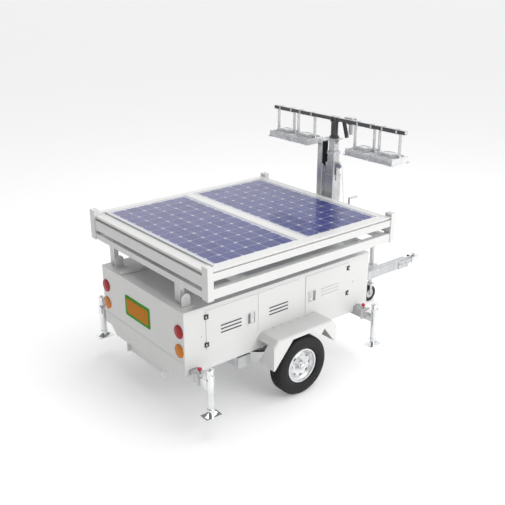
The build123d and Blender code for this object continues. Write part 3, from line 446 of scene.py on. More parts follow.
def white_backsheet():
    """The white sheet that shows between the cells, under glass."""
    sheet = Finish("white_backsheet", (0.50, 0.51, 0.60), 0.35, Coat_Weight=0.3, Coat_Roughness=0.05)
    dust = sheet.between(sheet.noise(5, 6), 0.45, 0.8, 0, 0.2)
    sheet.colour(sheet.blend(dust, (0.50, 0.51, 0.60), (0.42, 0.42, 0.46)))
    sheet.roughness(sheet.between(dust, 0, 0.2, 0.3, 0.45))
    sheet.bump(sheet.noise(700, 2), 0.00005, 0.2)
    return sheet.material


def silicon_cells(pitch, start):
    """Blue-violet cells under glass: each a little different, with silver busbars and fine fingers, and a painted
    reflection that makes them paler lavender towards the rear left and deep blue towards the front right.
    """
    cell = Finish("silicon_cells", (0.05, 0.055, 0.24), 0.32, 0.0, Coat_Weight=0.3, Coat_Roughness=0.05,
                  Specular_IOR_Level=0.2)
    x, y = cell.along("X"), cell.along("Y")
    column = cell.sum("FLOOR", cell.sum("DIVIDE", cell.sum("SUBTRACT", x, start[0]), pitch), 0)
    row = cell.sum("FLOOR", cell.sum("DIVIDE", cell.sum("SUBTRACT", y, start[1]), pitch), 0)
    where = cell.add("ShaderNodeCombineXYZ", {0: column, 1: row, 2: 0.0}).outputs[0]
    tint = cell.add("ShaderNodeTexWhiteNoise", {"Vector": where}, noise_dimensions="3D").outputs["Value"]
    blue = cell.blend(tint, (0.020, 0.028, 0.165), (0.032, 0.042, 0.215))
    # painted reflection: a paler lavender for each cell, standing for the bright surround mirrored in the glass
    painted_reflection = cell.blend(tint, (0.090, 0.086, 0.215), (0.112, 0.106, 0.255))
    # painted reflection: a sweep across the deck, highest towards the rear left, with a wavy edge
    reflection_sweep = cell.sum("SUBTRACT", y, cell.sum("MULTIPLY", x, 0.55))
    wavy_reflection_sweep = cell.sum("ADD", reflection_sweep, cell.sum("MULTIPLY", cell.noise(1.7, 3), 0.9))
    # the cells' own blue, mixed along the sweep with the painted reflection
    depth = cell.blend(cell.between(wavy_reflection_sweep, 0.25, 2.0), blue, painted_reflection)
    inside = cell.sum("FRACT", cell.sum("DIVIDE", cell.sum("SUBTRACT", x, start[0]), pitch), 0)
    line = None
    for share in (0.17, 0.49, 0.81):
        stripe = cell.sum("LESS_THAN", cell.sum("ABSOLUTE", cell.sum("SUBTRACT", inside, share), 0), 0.0075)
        line = stripe if line is None else cell.sum("MAXIMUM", line, stripe)
    finger = cell.sum("LESS_THAN", cell.sum("FRACT", cell.sum("MULTIPLY", y, 420), 0), 0.2)
    fine = cell.blend(cell.sum("MULTIPLY", finger, 0.12), depth, (0.30, 0.32, 0.48))
    cell.colour(cell.blend(cell.sum("MULTIPLY", line, 0.35), fine, (0.50, 0.52, 0.62)))
    cell.roughness(cell.between(cell.noise(9, 5), 0.4, 0.8, 0.25, 0.42))
    cell.bump(cell.noise(500, 2), 0.00004, 0.15)
    return cell.material


def clear_glass():
    glass = Finish("clear_glass", (0.9, 0.93, 0.95), 0.06, Transmission_Weight=0.85, IOR=1.5, Alpha=0.6)
    film = glass.between(glass.noise(20, 5), 0.45, 0.8)
    glass.colour(glass.blend(film, (0.92, 0.94, 0.96), (0.78, 0.79, 0.80)))
    glass.roughness(glass.between(film, 0, 1, 0.04, 0.2))
    glass.bump(glass.noise(300, 2), 0.00005, 0.2)
    return glass.material


WHITE = (0.735, 0.737, 0.728)
finish = {
    "white_paint": painted("white_powder_coat", WHITE, (0.50, 0.485, 0.455), 0.36),
    "galvanised": galvanised_steel(),
    "bright_steel": bright_steel(),
    "wheel_steel": silver_wheel_paint(),
    "tyre_rubber": dark_rubber("tyre_rubber", (0.0075, 0.0075, 0.008), 0.62, (0.026, 0.025, 0.023)),
    "black_rubber": dark_rubber("cable_rubber", (0.012, 0.012, 0.013), 0.5, (0.04, 0.04, 0.04)),
    "black_metal": painted("black_hinge_paint", (0.018, 0.018, 0.019), (0.09, 0.085, 0.08), 0.42),
    "black_plastic": moulded_plastic("black_plastic", (0.022, 0.022, 0.024), 0.42),
    "red_plastic": moulded_plastic("red_knob", (0.62, 0.014, 0.035), 0.3),
    "red_lens": lamp_lens("red_lens", (0.52, 0.003, 0.005), (0.26, 0.001, 0.002)),
    "amber_lens": lamp_lens("amber_lens", (0.78, 0.26, 0.001), (0.52, 0.13, 0.001)),
    "anodised": anodised_frame(),
    "cast_aluminium": cast_housing(),
    "solar_cells": white_backsheet(),
    "lamp_glass": clear_glass(),
    "handle_grey": moulded_plastic("handle_grey", (0.62, 0.625, 0.63), 0.4),
}


def dress_frame_nodes():
    """Every carried-over node takes the finish of its slot."""
    for entry in frame["record"]["subparts"]:
        node = frame["nodes"][entry["node"]]
        material = finish[entry["material_slot"]] if entry["node"] != "light_bar" else bar_steel()
        if not node.material_slots:
            node.data.materials.append(material)
        for place in node.material_slots:
            place.material = material


# ---------------------------------------------------------------- solar deck
CELL = 0.1543
CELL_PITCH = 0.159
CELL_CORNER = 0.0165
CELL_COUNT = (6, 12)
MODULE_GLASS = (1.014, 1.934)
CELL_LIFT = 0.0004


def solar_cells():
    low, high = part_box("module_laminates")
    glass_z = high.z
    margin = [(MODULE_GLASS[axis] - CELL_COUNT[axis] * CELL_PITCH) / 2 for axis in (0, 1)]
    starts = (low.x + margin[0], high.x - MODULE_GLASS[0] + margin[0])
    for name, start in zip(ENDS, starts):
        first = (start + CELL_PITCH / 2, low.y + margin[1] + CELL_PITCH / 2)
        cells = rounded_plate(f"cells_{name}", (CELL, CELL), CELL_LIFT, CELL_CORNER,
                              (first[0], first[1], glass_z), segments=1)
        for axis in (0, 1):
            row = cells.modifiers.new("row", "ARRAY")
            row.count = CELL_COUNT[axis]
            row.use_relative_offset = False
            row.use_constant_offset = True
            row.constant_offset_displace = [CELL_PITCH if place == axis else 0 for place in range(3)]
            bpy.ops.object.modifier_apply(modifier="row")
        material = silicon_cells(CELL_PITCH, (start, low.y + margin[1]))
        dressed(cells, "solar_array", "solar_cells", material=material)


def deck_trim():
    """Post caps and the bolts that hold the rails to the posts."""
    low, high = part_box("array_frame")
    post = (0.065, 0.090)
    caps = []
    heads = {"-X": [], "X": [], "-Y": [], "Y": []}
    for x_side in (-1, 1):
        for y_side in (-1, 1):
            corner_x = low.x if x_side < 0 else high.x - post[0]
            corner_y = low.y if y_side < 0 else high.y - post[1]
            caps.append(bar("cap", (corner_x + 0.004, corner_y + 0.004, high.z - 0.012),
                            (corner_x + post[0] - 0.004, corner_y + post[1] - 0.004, high.z - 0.001), 0.003))
            face_x = low.x if x_side < 0 else high.x
            face_y = low.y if y_side < 0 else high.y
            for z in (1.490, 1.535, 1.640, 1.680):
                heads["-X" if x_side < 0 else "X"].append((face_x - x_side * 0.0065, corner_y + 0.045, z))
                heads["-Y" if y_side < 0 else "Y"].append((corner_x + 0.032, face_y - y_side * 0.0065, z))
    dressed(joined("post_caps", caps), "solar_array", "black_plastic", material=finish["white_paint"])
    for axis, places in heads.items():
        name = "deck_bolts_" + {"-X": "rear", "X": "front", "-Y": "right", "Y": "left"}[axis]
        dressed(bolts(name, places, 0.0075, 0.006, axis), "solar_array", "bright_steel")


# ---------------------------------------------------------------- tail
SIGN_SIZE = (0.484, 0.230)
SIGN_MIDDLE = (0.062, 0.955)
SIGN_BORDER = 0.032
SIGN_CORNER = 0.024


def tail_lamps():
    """Four round lamps: a seat with a rim and a ribbed domed lens, both in the lens colour."""
    low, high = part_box("tail_lamps")
    radius = 0.069
    depth = high.x - low.x
    ribs = [(radius * 0.90, depth * 0.55)]
    for step in range(7):
        share = 1 - step / 7
        rise = depth * (0.62 + 0.33 * (1 - share * share))
        ribs += [(radius * 0.88 * share, rise), (radius * (0.88 * share - 0.018), rise + depth * 0.025),
                 (radius * (0.88 * share - 0.05), rise + depth * 0.012)]
    ribs.append((radius * 0.02, depth * 0.97))
    shell = [(radius, 0), (radius, depth * 0.45), (radius * 0.97, depth * 0.6),
             (radius * 0.90, depth * 0.62),
             (radius * 0.90, depth * 0.3)]
    for side_name, side in SIDES.items():
        y = side * (high.y - radius)
        for colour, z in (("red", high.z - radius), ("amber", low.z + radius)):
            seat = turned("seat", shell, (high.x, y, z), "-X", 56)
            lens = turned("lens", [(radius * 0.90, depth * 0.3)] + ribs, (high.x, y, z), "-X", 56)
            name = f"tail_lamp_{colour}_{side_name}"
            dressed(joined(name, [seat, lens]), "root", f"{colour}_lens", "tail_lamps")


def rear_sign():
    """A blank orange plate with a green border, riveted to the back of the cabinet."""
    back_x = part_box("body_shell")[0].x
    centre = Vector((back_x, *SIGN_MIDDLE))
    border = rounded_plate("sign_border", (SIGN_SIZE[1], SIGN_SIZE[0]), 0.003, SIGN_CORNER, centre, "-X")
    edit(border)
    take_faces(border, lambda middle, normal: normal.x < -0.9)
    bpy.ops.mesh.inset(thickness=SIGN_BORDER * 0.2)
    bpy.ops.mesh.inset(thickness=SIGN_BORDER * 0.8, depth=0.0006)
    done(border)
    green = painted("sign_green", (0.035, 0.33, 0.012), (0.12, 0.30, 0.08), 0.5, 0.0, 0.1)
    dressed(border, "root", "sign_print", material=green)
    field_size = (SIGN_SIZE[1] - 2 * SIGN_BORDER, SIGN_SIZE[0] - 2 * SIGN_BORDER)
    field = rounded_plate("sign_field", field_size, 0.0016, SIGN_CORNER * 0.5,
                          centre - Vector((0.003, 0, 0)), "-X")
    orange = painted("sign_orange", (0.58, 0.20, 0.001), (0.45, 0.2, 0.04), 0.5, 0.0, 0.1)
    dressed(field, "root", "sign_print", material=orange)


def cabinet_trim():
    """The roof's drip edge, the rear fold, the roof stiffener and the lock barrels."""
    low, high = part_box("body_shell")
    fold_z = 0.71
    fold = bar("rear_fold", (low.x - 0.0025, low.y + 0.02, fold_z - 0.006),
               (low.x + 0.001, high.y - 0.02, fold_z),
               0.001)
    seams = [fold]
    for side in SIDES.values():
        outer = side * (high.y + 0.0015)
        inner = side * (high.y - 0.001)
        seams.append(bar("side_fold", (low.x + 0.02, min(outer, inner), 1.222),
                         (high.x - 0.02, max(outer, inner), 1.226),
                         0.0006))
    dressed(joined("cabinet_folds", seams), "root", "white_paint")
    rib = bar("roof_rib", (low.x + 0.02, 0.375, high.z), (0.20, 0.425, high.z + 0.025), 0.003)
    dressed(rib, "root", "white_paint")
    barrels = []
    for side in SIDES.values():
        axis = "Y" if side > 0 else "-Y"
        for x, z in ((-1.995, 0.939), (0.074, 0.952)):
            barrels.append(turned("barrel", [(0.011, 0), (0.011, 0.003), (0.0095, 0.005), (0.0095, 0.0035),
                                             (0.007, 0.0035), (0.006, 0.006), (0.001, 0.0065)],
                                  (x, side * high.y, z), axis, 24))
    dressed(joined("lock_barrels", barrels), "root", "bright_steel")


HINGE_HEIGHTS = (0.842, 1.140)
LOUVRE = (0.250, 0.013)
LOUVRE_MIDDLE = 0.958
LOUVRE_PITCH = 0.038


def louvre_hood(side, proud, tall):
    """A pressed hood over one slot: open below, closed at its tapered ends."""
    hood = bar("hood", (-LOUVRE[0] / 2 - 0.006, 0, 0), (LOUVRE[0] / 2 + 0.006, proud, tall), tall * 0.25, 3)
    edit(hood)
    take_faces(hood, lambda middle, normal: normal.y > 0.9)
    bpy.ops.transform.resize(value=(0.93, 1, 0.5))
    bpy.ops.transform.translate(value=(0, 0, -tall * 0.23))
    done(hood)
    if side < 0:
        hood.data.transform(Matrix.Diagonal((1, -1, 1, 1)))
        hood.data.flip_normals()
    return hood


def panel_louvres():
    """Hoods above the slots of the doors and of the fixed panel, and black plates behind the slots as painted shade
    for the shaded inside of each slot.
    """
    panels = {"centre_panels": ("root", -1.030), "door_rear": ("door_rear", -1.6465),
              "door_front": ("door_front", -0.2915)}
    for key, (body, x) in panels.items():
        for side_name, side in SIDES.items():
            node = key if key == "centre_panels" else f"{key}_{side_name}"
            owner = body if body == "root" else f"{body}_{side_name}"
            outer = side * (0.785 if key == "centre_panels" else 0.7855)
            shut = key == "door_front"
            hood = louvre_hood(side, 0.008 if shut else 0.004, 0.013 if shut else 0.006)
            lift = -LOUVRE[1] / 2 if shut else LOUVRE[1] / 2
            places = [(x, outer - side * 0.001, LOUVRE_MIDDLE + step * LOUVRE_PITCH + lift)
                      for step in (-1, 0, 1)]
            name = f"louvre_hoods_{node.replace('centre_panels', 'centre_' + side_name)}"
            dressed(spread(name, hood, places), owner, "white_paint")
            # painted shade: black plates in each slot stand for the shade inside it
            reach = sorted((outer - side * 0.0042, outer - side * 0.0005 if shut
                            else outer + side * 0.0008))
            grow = -0.0005 if shut else 0.0025
            back = [bar("back", (x - LOUVRE[0] / 2 - grow, reach[0], z - LOUVRE[1] / 2 - grow),
                        (x + LOUVRE[0] / 2 + grow, reach[1], z + LOUVRE[1] / 2 + grow), 0.0004, 1)
                    for z in [LOUVRE_MIDDLE + step * LOUVRE_PITCH for step in (-1, 0, 1)]]
            # the louvre_mesh pieces are these black painted-shade plates
            dressed(joined(name.replace("hoods", "mesh"), back), owner, "black_metal")


def hinge_screws():
    """Two screws in each black hinge leaf."""
    low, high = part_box("door_hinges")
    for side_name, side in SIDES.items():
        places = []
        for x in (low.x + 0.008, high.x - 0.008):
            for z in HINGE_HEIGHTS:
                places += [(x, side * 0.785, z + step) for step in (-0.015, 0.015)]
        dressed(bolts(f"hinge_screws_{side_name}", places, 0.0032, 0.003, "Y" if side > 0 else "-Y"),
                "root",
                "black_metal")


def hinge_leaves():
    """The black moving leaves, screwed to the doors beside the knuckles."""
    for end, edge_x, way in (("rear", -1.947, 1), ("front", -0.014, -1)):
        for side_name, side in SIDES.items():
            leaves = []
            for z in HINGE_HEIGHTS:
                x = sorted((edge_x + way * 0.001, edge_x + way * 0.027))
                y = sorted((side * 0.7850, side * 0.7905))
                leaves.append(bar("leaf", (x[0], y[0], z - 0.025), (x[1], y[1], z + 0.025), 0.0015))
            dressed(joined(f"hinge_leaves_{end}_{side_name}", leaves), f"door_{end}_{side_name}",
                    "black_metal")


def handle_locks():
    """A key barrel in each door's paddle handle."""
    for end in ENDS:
        for side_name, side in SIDES.items():
            low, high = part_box(f"paddle_{end}_{side_name}")
            outer = high.y if side > 0 else low.y
            centre = ((low.x + high.x) / 2, outer - side * 0.001, low.z + 0.03)
            lock = turned("lock", [(0.010, 0), (0.010, 0.0022), (0.0085, 0.003), (0.0085, 0.002),
                                   (0.006, 0.0015),
                                   (0.001, 0.0012)], centre, "Y" if side > 0 else "-Y", 24)
            dressed(lock, f"paddle_{end}_{side_name}", "bright_steel")
            lock.name = f"handle_lock_{end}_{side_name}"


# ---------------------------------------------------------------- running gear
TYRE_SEGMENTS = 108


def tyres():
    """Tyres with round shoulders, a bead, fine sidewall ribs and a sipe-cut tread."""
    for name, side in SIDES.items():
        low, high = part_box(f"tyre_{name}")
        half = (high.y - low.y) / 2
        outer = (high.x - low.x) / 2
        bead, seat = 0.1783, half - 0.0323
        wall = [(bead, seat), (0.193, seat), (0.197, seat + 0.006), (0.204, half - 0.013),
                (0.212, half - 0.008),
                (0.222, half - 0.0062), (0.2235, half - 0.0046), (0.2265, half - 0.0046), (0.228,
                                                                                           half - 0.0040),
                (0.240, half - 0.0018), (0.2415, half - 0.0002), (0.2445, half - 0.0002), (0.246,
                                                                                           half - 0.0014),
                (0.256, half - 0.0008), (0.268, half - 0.0014), (0.2695, half - 0.0004), (0.274,
                                                                                          half - 0.0006),
                (0.2755, half - 0.0022), (0.290, half - 0.005), (0.303, half - 0.009), (0.314,
                                                                                        half - 0.015),
                (0.322, half - 0.022), (0.328, half - 0.031)]
        tread = [(outer - 0.0016, half - 0.036)]
        for groove in (0.034, 0.004):
            tread += [(outer - 0.0003, groove + 0.0075), (outer - 0.0085, groove + 0.0055),
                      (outer - 0.0085, groove - 0.0035), (outer, groove - 0.0055)]
        profile = wall + tread + [(radius, -height) for radius, height in reversed(tread[:-4])]
        profile += [(radius, -height) for radius, height in reversed(wall)]
        profile += [(bead, -(seat - 0.016)), (0.226, -(half - 0.022)), (outer - 0.022, -(half - 0.03)),
                    (outer - 0.022, half - 0.03), (0.226, half - 0.022), (bead, seat - 0.016), (bead, seat)]
        centre = middle_of(f"tyre_{name}")
        tyre = turned(f"tyre_body_{name}", profile, (0, 0, 0), "Z", TYRE_SEGMENTS, capped=False)
        edit(tyre)
        step = 2 * pi / TYRE_SEGMENTS

        def sipe(middle, normal):
            radius = (middle.x ** 2 + middle.y ** 2) ** 0.5
            index = int(Vector((middle.x, middle.y)).angle_signed(Vector((1, 0)), 0) / step + TYRE_SEGMENTS)
            shoulder = half - 0.037 < abs(middle.z) < half - 0.019 and radius > 0.31
            centre_band = abs(middle.z) < 0.001 or 0.012 < abs(middle.z) < 0.024
            return (shoulder and index % 3 == 0) or (centre_band and radius > outer - 0.003
                                                     and index % 4 == 0)

        take_faces(tyre, sipe)
        bpy.ops.mesh.extrude_faces_move(TRANSFORM_OT_shrink_fatten={"value": -0.004})
        done(tyre)
        tyre.rotation_euler = TURNS["Y" if side > 0 else "-Y"]
        tyre.location = centre
        settle(tyre)
        dressed(tyre, f"wheel_{name}", "tyre_rubber", f"tyre_{name}")


def wheel_hardware():
    """The grease cap, the valve and the wheel nuts of each wheel."""
    for name, side in SIDES.items():
        centre = middle_of(f"tyre_{name}")
        axis = "Y" if side > 0 else "-Y"
        face = centre + Vector((0, side * 0.052, 0))
        cap = turned("cap", [(0.035, 0), (0.035, 0.004), (0.031, 0.006), (0.030, 0.020), (0.027, 0.026),
                             (0.018, 0.030), (0.002, 0.031)], face, axis, 36)
        valve = turned("valve", [(0.004, 0), (0.004, 0.014), (0.0028, 0.015), (0.0028, 0.024),
                                 (0.001, 0.025)],
                       centre + Vector((0.128, side * 0.046, 0.055)), axis, 14)
        dressed(joined(f"hub_cap_{name}", [cap, valve]), f"wheel_{name}", "bright_steel")
        nuts = []
        for index in range(5):
            angle = 2 * pi * index / 5
            nuts.append(turned("nut", [(0.0125, 0), (0.0125, 0.012), (0.010, 0.016), (0.009, 0.020),
                                       (0.001, 0.022)],
                               centre + Vector((0.05 * cos(angle), side * 0.041, 0.05 * sin(angle))), axis, 6))
        dressed(joined(f"wheel_nuts_{name}", nuts), f"wheel_{name}", "bright_steel")


FENDER_ROUND = 0.030
FENDER_SLOPE = 0.057


def trimmed(piece, place, normal):
    """Cut a piece off where the plane through a place faces."""
    edit(piece)
    bpy.ops.mesh.select_all(action="SELECT")
    bpy.ops.mesh.bisect(plane_co=place, plane_no=normal, clear_outer=True, use_fill=True)
    done(piece)


def rolled_edge(name, side, low, high):
    """The rolled edge along a fender's outer rim: one rod on top and one down each sloping end."""
    mitre = radians(22.5)
    inset = FENDER_ROUND * tan(mitre)
    ends = (low.x + FENDER_SLOPE + inset, high.x - FENDER_SLOPE - inset)
    y = side * (high.y - FENDER_ROUND)
    z = high.z - FENDER_ROUND
    radius = FENDER_ROUND - 0.0002
    length = ends[1] - ends[0] + 2 * inset
    reach = FENDER_SLOPE * sqrt(2) + 2 * inset
    top = turned("rod", [(radius, 0), (radius, length)], (ends[0] - inset, y, z), "X", 48)
    rods = [top]
    for x, turn, wall_x, outward in ((ends[0], 225, low.x + 0.0008, -1),
                                     (ends[1], 135, high.x - 0.0008, 1)):
        corner = (x, y, z)
        slope = turned("rod", [(radius, -inset), (radius, reach)], (0, 0, 0), "Z", 48)
        slope.data.transform(Matrix.Translation(corner) @ Matrix.Rotation(radians(turn), 4, "Y"))
        trimmed(top, corner, (outward * cos(mitre), 0, -sin(mitre)))
        trimmed(slope, corner, (-outward * cos(mitre), 0, sin(mitre)))
        trimmed(slope, (wall_x, y, z), (outward, 0, 0))
        rods.append(slope)
    dressed(joined(f"fender_rolled_edge_{name}", rods), "root", "white_paint")


def fender_trim():
    """A flange of rounded bolts where each fender meets the cabinet, and its rolled lower edge."""
    low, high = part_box("fenders")
    for name, side in SIDES.items():
        places = [(low.x + 0.09 + step * 0.115, side * 0.786, high.z - 0.0) for step in range(7)]
        flange = bar("flange", (low.x + 0.06, min(side * 0.780, side * 0.800), high.z),
                     (high.x - 0.06, max(side * 0.780, side * 0.800), high.z + 0.0025), 0.0008, 1)
        heads = spread("heads", hex_bolt(0.006, 0.005, "Z"),
                       [(x, side * 0.790, high.z + 0.002) for x, _, _ in places])
        dressed(flange, "root", "white_paint")
        flange.name = f"fender_flange_{name}"
        dressed(heads, "root", "bright_steel")
        heads.name = f"fender_bolts_{name}"
        rolled_edge(name, side, low, high)


# ---------------------------------------------------------------- outriggers, jockey wheel, coupling
def jack_hardware():
    for end in ENDS:
        for name, side in SIDES.items():
            label = f"{end}_{name}"
            low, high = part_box(f"outrigger_{label}")
            x = (low.x + high.x) / 2
            y = side * 1.05
            screw = turned("screw", [(0.030, 0), (0.030, 0.003), (0.012, 0.004)], (x, y, high.z), "Z", 32)
            nut = turned("nut", [(0.012, 0.003), (0.0125, 0.004), (0.0125, 0.013), (0.010, 0.015)],
                         (x, y, high.z),
                         "Z", 6)
            band = turned("band", [(0.0352, 0), (0.0385, 0.001), (0.0385, 0.019), (0.0352, 0.020)],
                          (x, y, 0.306), "Z", 40)
            plates = []
            for way in (-1, 1):
                edge = x + way * 0.046
                plates.append(bar("plate", (min(edge, edge + way * 0.006), min(y, y - side * 0.070), 0.555),
                                  (max(edge, edge + way * 0.006), max(y, y - side * 0.070), 0.645), 0.002))
            sleeve = turned("sleeve", [(0.0350, 0.327), (0.0354, 0.328), (0.0354, 0.6995),
                                       (0.0350, 0.7005)],
                            (x, y, 0), "Z", 48)
            hardware = joined(f"jack_fittings_{label}", [screw, nut, band, sleeve, *plates])
            dressed(hardware, f"outrigger_{label}", "bright_steel")
            mouth = []
            for way in (-1, 1):
                mouth.append(bar("cheek", (x + way * 0.0565 - 0.0065, min(side * 0.90, side * 0.93), 0.529),
                                 (x + way * 0.0565 + 0.0065, max(side * 0.90, side * 0.93), 0.641), 0.002))
            for z in (0.529, 0.635):
                mouth.append(bar("lip", (x - 0.055, min(side * 0.90, side * 0.93), z),
                                 (x + 0.055, max(side * 0.90, side * 0.93), z + 0.006), 0.002))
            dressed(joined(f"receiver_mouth_{label}", mouth), "root", "white_paint")
            pin_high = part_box(f"pull_pin_{label}")[1]
            ring = turned("ring", [(0.0162, -0.0012), (0.0186, -0.0012), (0.0186, 0.0012), (0.0162, 0.0012),
                                   (0.0162, -0.0012)], (0, 0, 0), "X", 30, capped=False)
            ring.location = (x - 0.024, side * 0.88, pin_high.z - 0.045)
            settle(ring)
            dressed(ring, f"pull_pin_{label}", "bright_steel")
            ring.name = f"pin_ring_{label}"


def coupling_trim():
    low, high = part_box("coupling_lever")
    grip = bar("lever_grip", (low.x, low.y + 0.001, high.z - 0.0165),
               (low.x + 0.029, high.y - 0.001, high.z + 0.0005), 0.004, 4)
    dressed(grip, "coupling_lever", "black_plastic")
    places = [(x, side * 0.0435, 0.48) for x in (2.078, 2.105) for side in (-1,)]
    dressed(bolts("coupling_bolts_right", places, 0.008, 0.008, "-Y"), "root", "bright_steel")
    places = [(x, 0.0435, 0.48) for x in (2.078, 2.105)]
    dressed(bolts("coupling_bolts_left", places, 0.008, 0.008, "Y"), "root", "bright_steel")


def jockey_trim():
    low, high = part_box("jockey_wheel")
    middle = (low + high) / 2
    hubs = []
    for side, axis in ((1, "Y"), (-1, "-Y")):
        hubs.append(turned("hub", [(0.064, 0), (0.064, 0.004), (0.058, 0.006), (0.030, 0.008),
                                   (0.028, 0.0115),
                                   (0.012, 0.0125)], middle + Vector((0, side * 0.0205, 0)), axis, 40))
    dressed(joined("jockey_wheel_hubs", hubs), "jockey_wheel", "handle_grey")
    x, y = middle_of("jockey_outer_tube").x, middle_of("jockey_outer_tube").y
    clamp = turned("clamp_screw", [(0.008, 0), (0.008, 0.018), (0.013, 0.019), (0.013, 0.031),
                                   (0.006, 0.032)],
                   (x + 0.070, y, 0.48), "X", 20)
    handle = turned("clamp_bar", [(0.0035, -0.05), (0.005, -0.048), (0.005, 0.048), (0.0035, 0.05)],
                    (x + 0.096, y, 0.48), "Z", 16)
    dressed(joined("jockey_clamp", [clamp, handle]), "root", "bright_steel")


# ---------------------------------------------------------------- mast
MAST_X = 0.48
COLLARS = {"mast_outer": ("root", 0.134, 1.966), "mast_stage_2": ("mast_stage_2", 0.126, 2.105),
           "mast_stage_3": ("mast_stage_3", 0.110, 2.240)}


def mast_collars():
    """Wear pads and their adjusting bolts round the top of each hollow section."""
    for node, (body, size, top) in COLLARS.items():
        half = size / 2
        heads = []
        for axis, way in (("X", 1), ("-X", -1), ("Y", 1), ("-Y", -1)):
            along_x = axis in ("X", "-X")
            places = []
            for shift in (-0.28 * size, 0.28 * size):
                place = (MAST_X + way * half, shift, top - 0.020) if along_x else (MAST_X + shift,
                                                                                   way * half, top - 0.020)
                places.append(place)
            heads.append(bolts("heads", places, 0.0065, 0.007, axis))
        dressed(joined(f"collar_bolts_{node}", heads), body, "bright_steel")
        pads = []
        for way in (-1, 1):
            pads.append(bar("pad", (MAST_X - half + 0.004, min(way * (half - 0.010), way * (half - 0.004)),
                                    top - 0.001),
                            (MAST_X + half - 0.004, max(way * (half - 0.010), way * (half - 0.004)), top + 0.004), 0.001, 1))
            edge = MAST_X + way * (half - 0.007)
            pads.append(bar("pad", (edge - 0.003, -half + 0.012, top - 0.001),
                            (edge + 0.003, half - 0.012, top + 0.004),
                            0.001, 1))
        dressed(joined(f"collar_pads_{node}", pads), body, "white_paint")


def cable_coil():
    """The sprung supply cable between the conduit's gland and the bracket above it."""
    low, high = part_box("coiled_cable")
    centre = (low + high) / 2
    wire = 0.0052
    radius = (high.x - low.x) / 2 - wire
    turns = 26
    height = high.z - low.z - 0.030
    pitch = height / turns
    coil = helix("cable_helix", wire, radius, pitch, turns, (centre.x, centre.y, low.z + 0.016 + wire))
    coil.name = "cable_helix"
    ends = []
    for z, axis in ((low.z, "Z"), (high.z, "-Z")):
        ends.append(turned("gland", [(0.016, 0), (0.016, 0.006), (0.0145, 0.008), (0.0145, 0.014),
                                     (0.010, 0.020),
                                     (0.006, 0.024)], (centre.x, centre.y, z), axis, 24))
    dressed(joined("supply_cable", [coil, *ends]), "root", "black_rubber", "coiled_cable")


def winch_trim():
    """The rope's turns on the drum, a ratchet wheel and the crank's grip."""
    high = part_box("winch_drum")[1]
    y, z = -0.185, 1.48
    rope = helix("drum_rope", 0.0028, 0.0352, 0.0058, 12, (MAST_X - 0.034, y, z), "X", 24)
    dressed(rope, "winch_drum", "bright_steel")
    rope.name = "drum_rope"
    ratchet = turned("ratchet_wheel", [(0.040, 0), (0.040, 0.005)], (0, 0, 0), "Z", 36)
    edit(ratchet)
    take_faces(ratchet, lambda middle, normal: abs(normal.z) < 0.1
               and int(middle.to_2d().angle_signed(Vector((1, 0)), 0)
                                                                          / (pi / 18) + 36) % 2 == 0)
    bpy.ops.mesh.extrude_faces_move(TRANSFORM_OT_shrink_fatten={"value": 0.004})
    done(ratchet)
    ratchet.rotation_euler = TURNS["X"]
    ratchet.location = (MAST_X + 0.0535, y, z)
    settle(ratchet)
    dressed(ratchet, "winch_drum", "bright_steel")
    grip = turned("crank_grip", [(0.0135, 0), (0.0155, 0.004), (0.0150, 0.02), (0.0138, 0.05),
                                 (0.0150, 0.085),
                                 (0.0155, 0.104), (0.0135, 0.108)], (high.x - 0.112, y, high.z - 0.0122), "X", 28)
    dressed(grip, "winch_drum", "black_plastic", material=finish["handle_grey"])


# ---------------------------------------------------------------- lamp head
LAMP_PIVOT_Z = 2.347
LAMP_LENGTH = 0.276
LAMP_WIDTH = 0.330


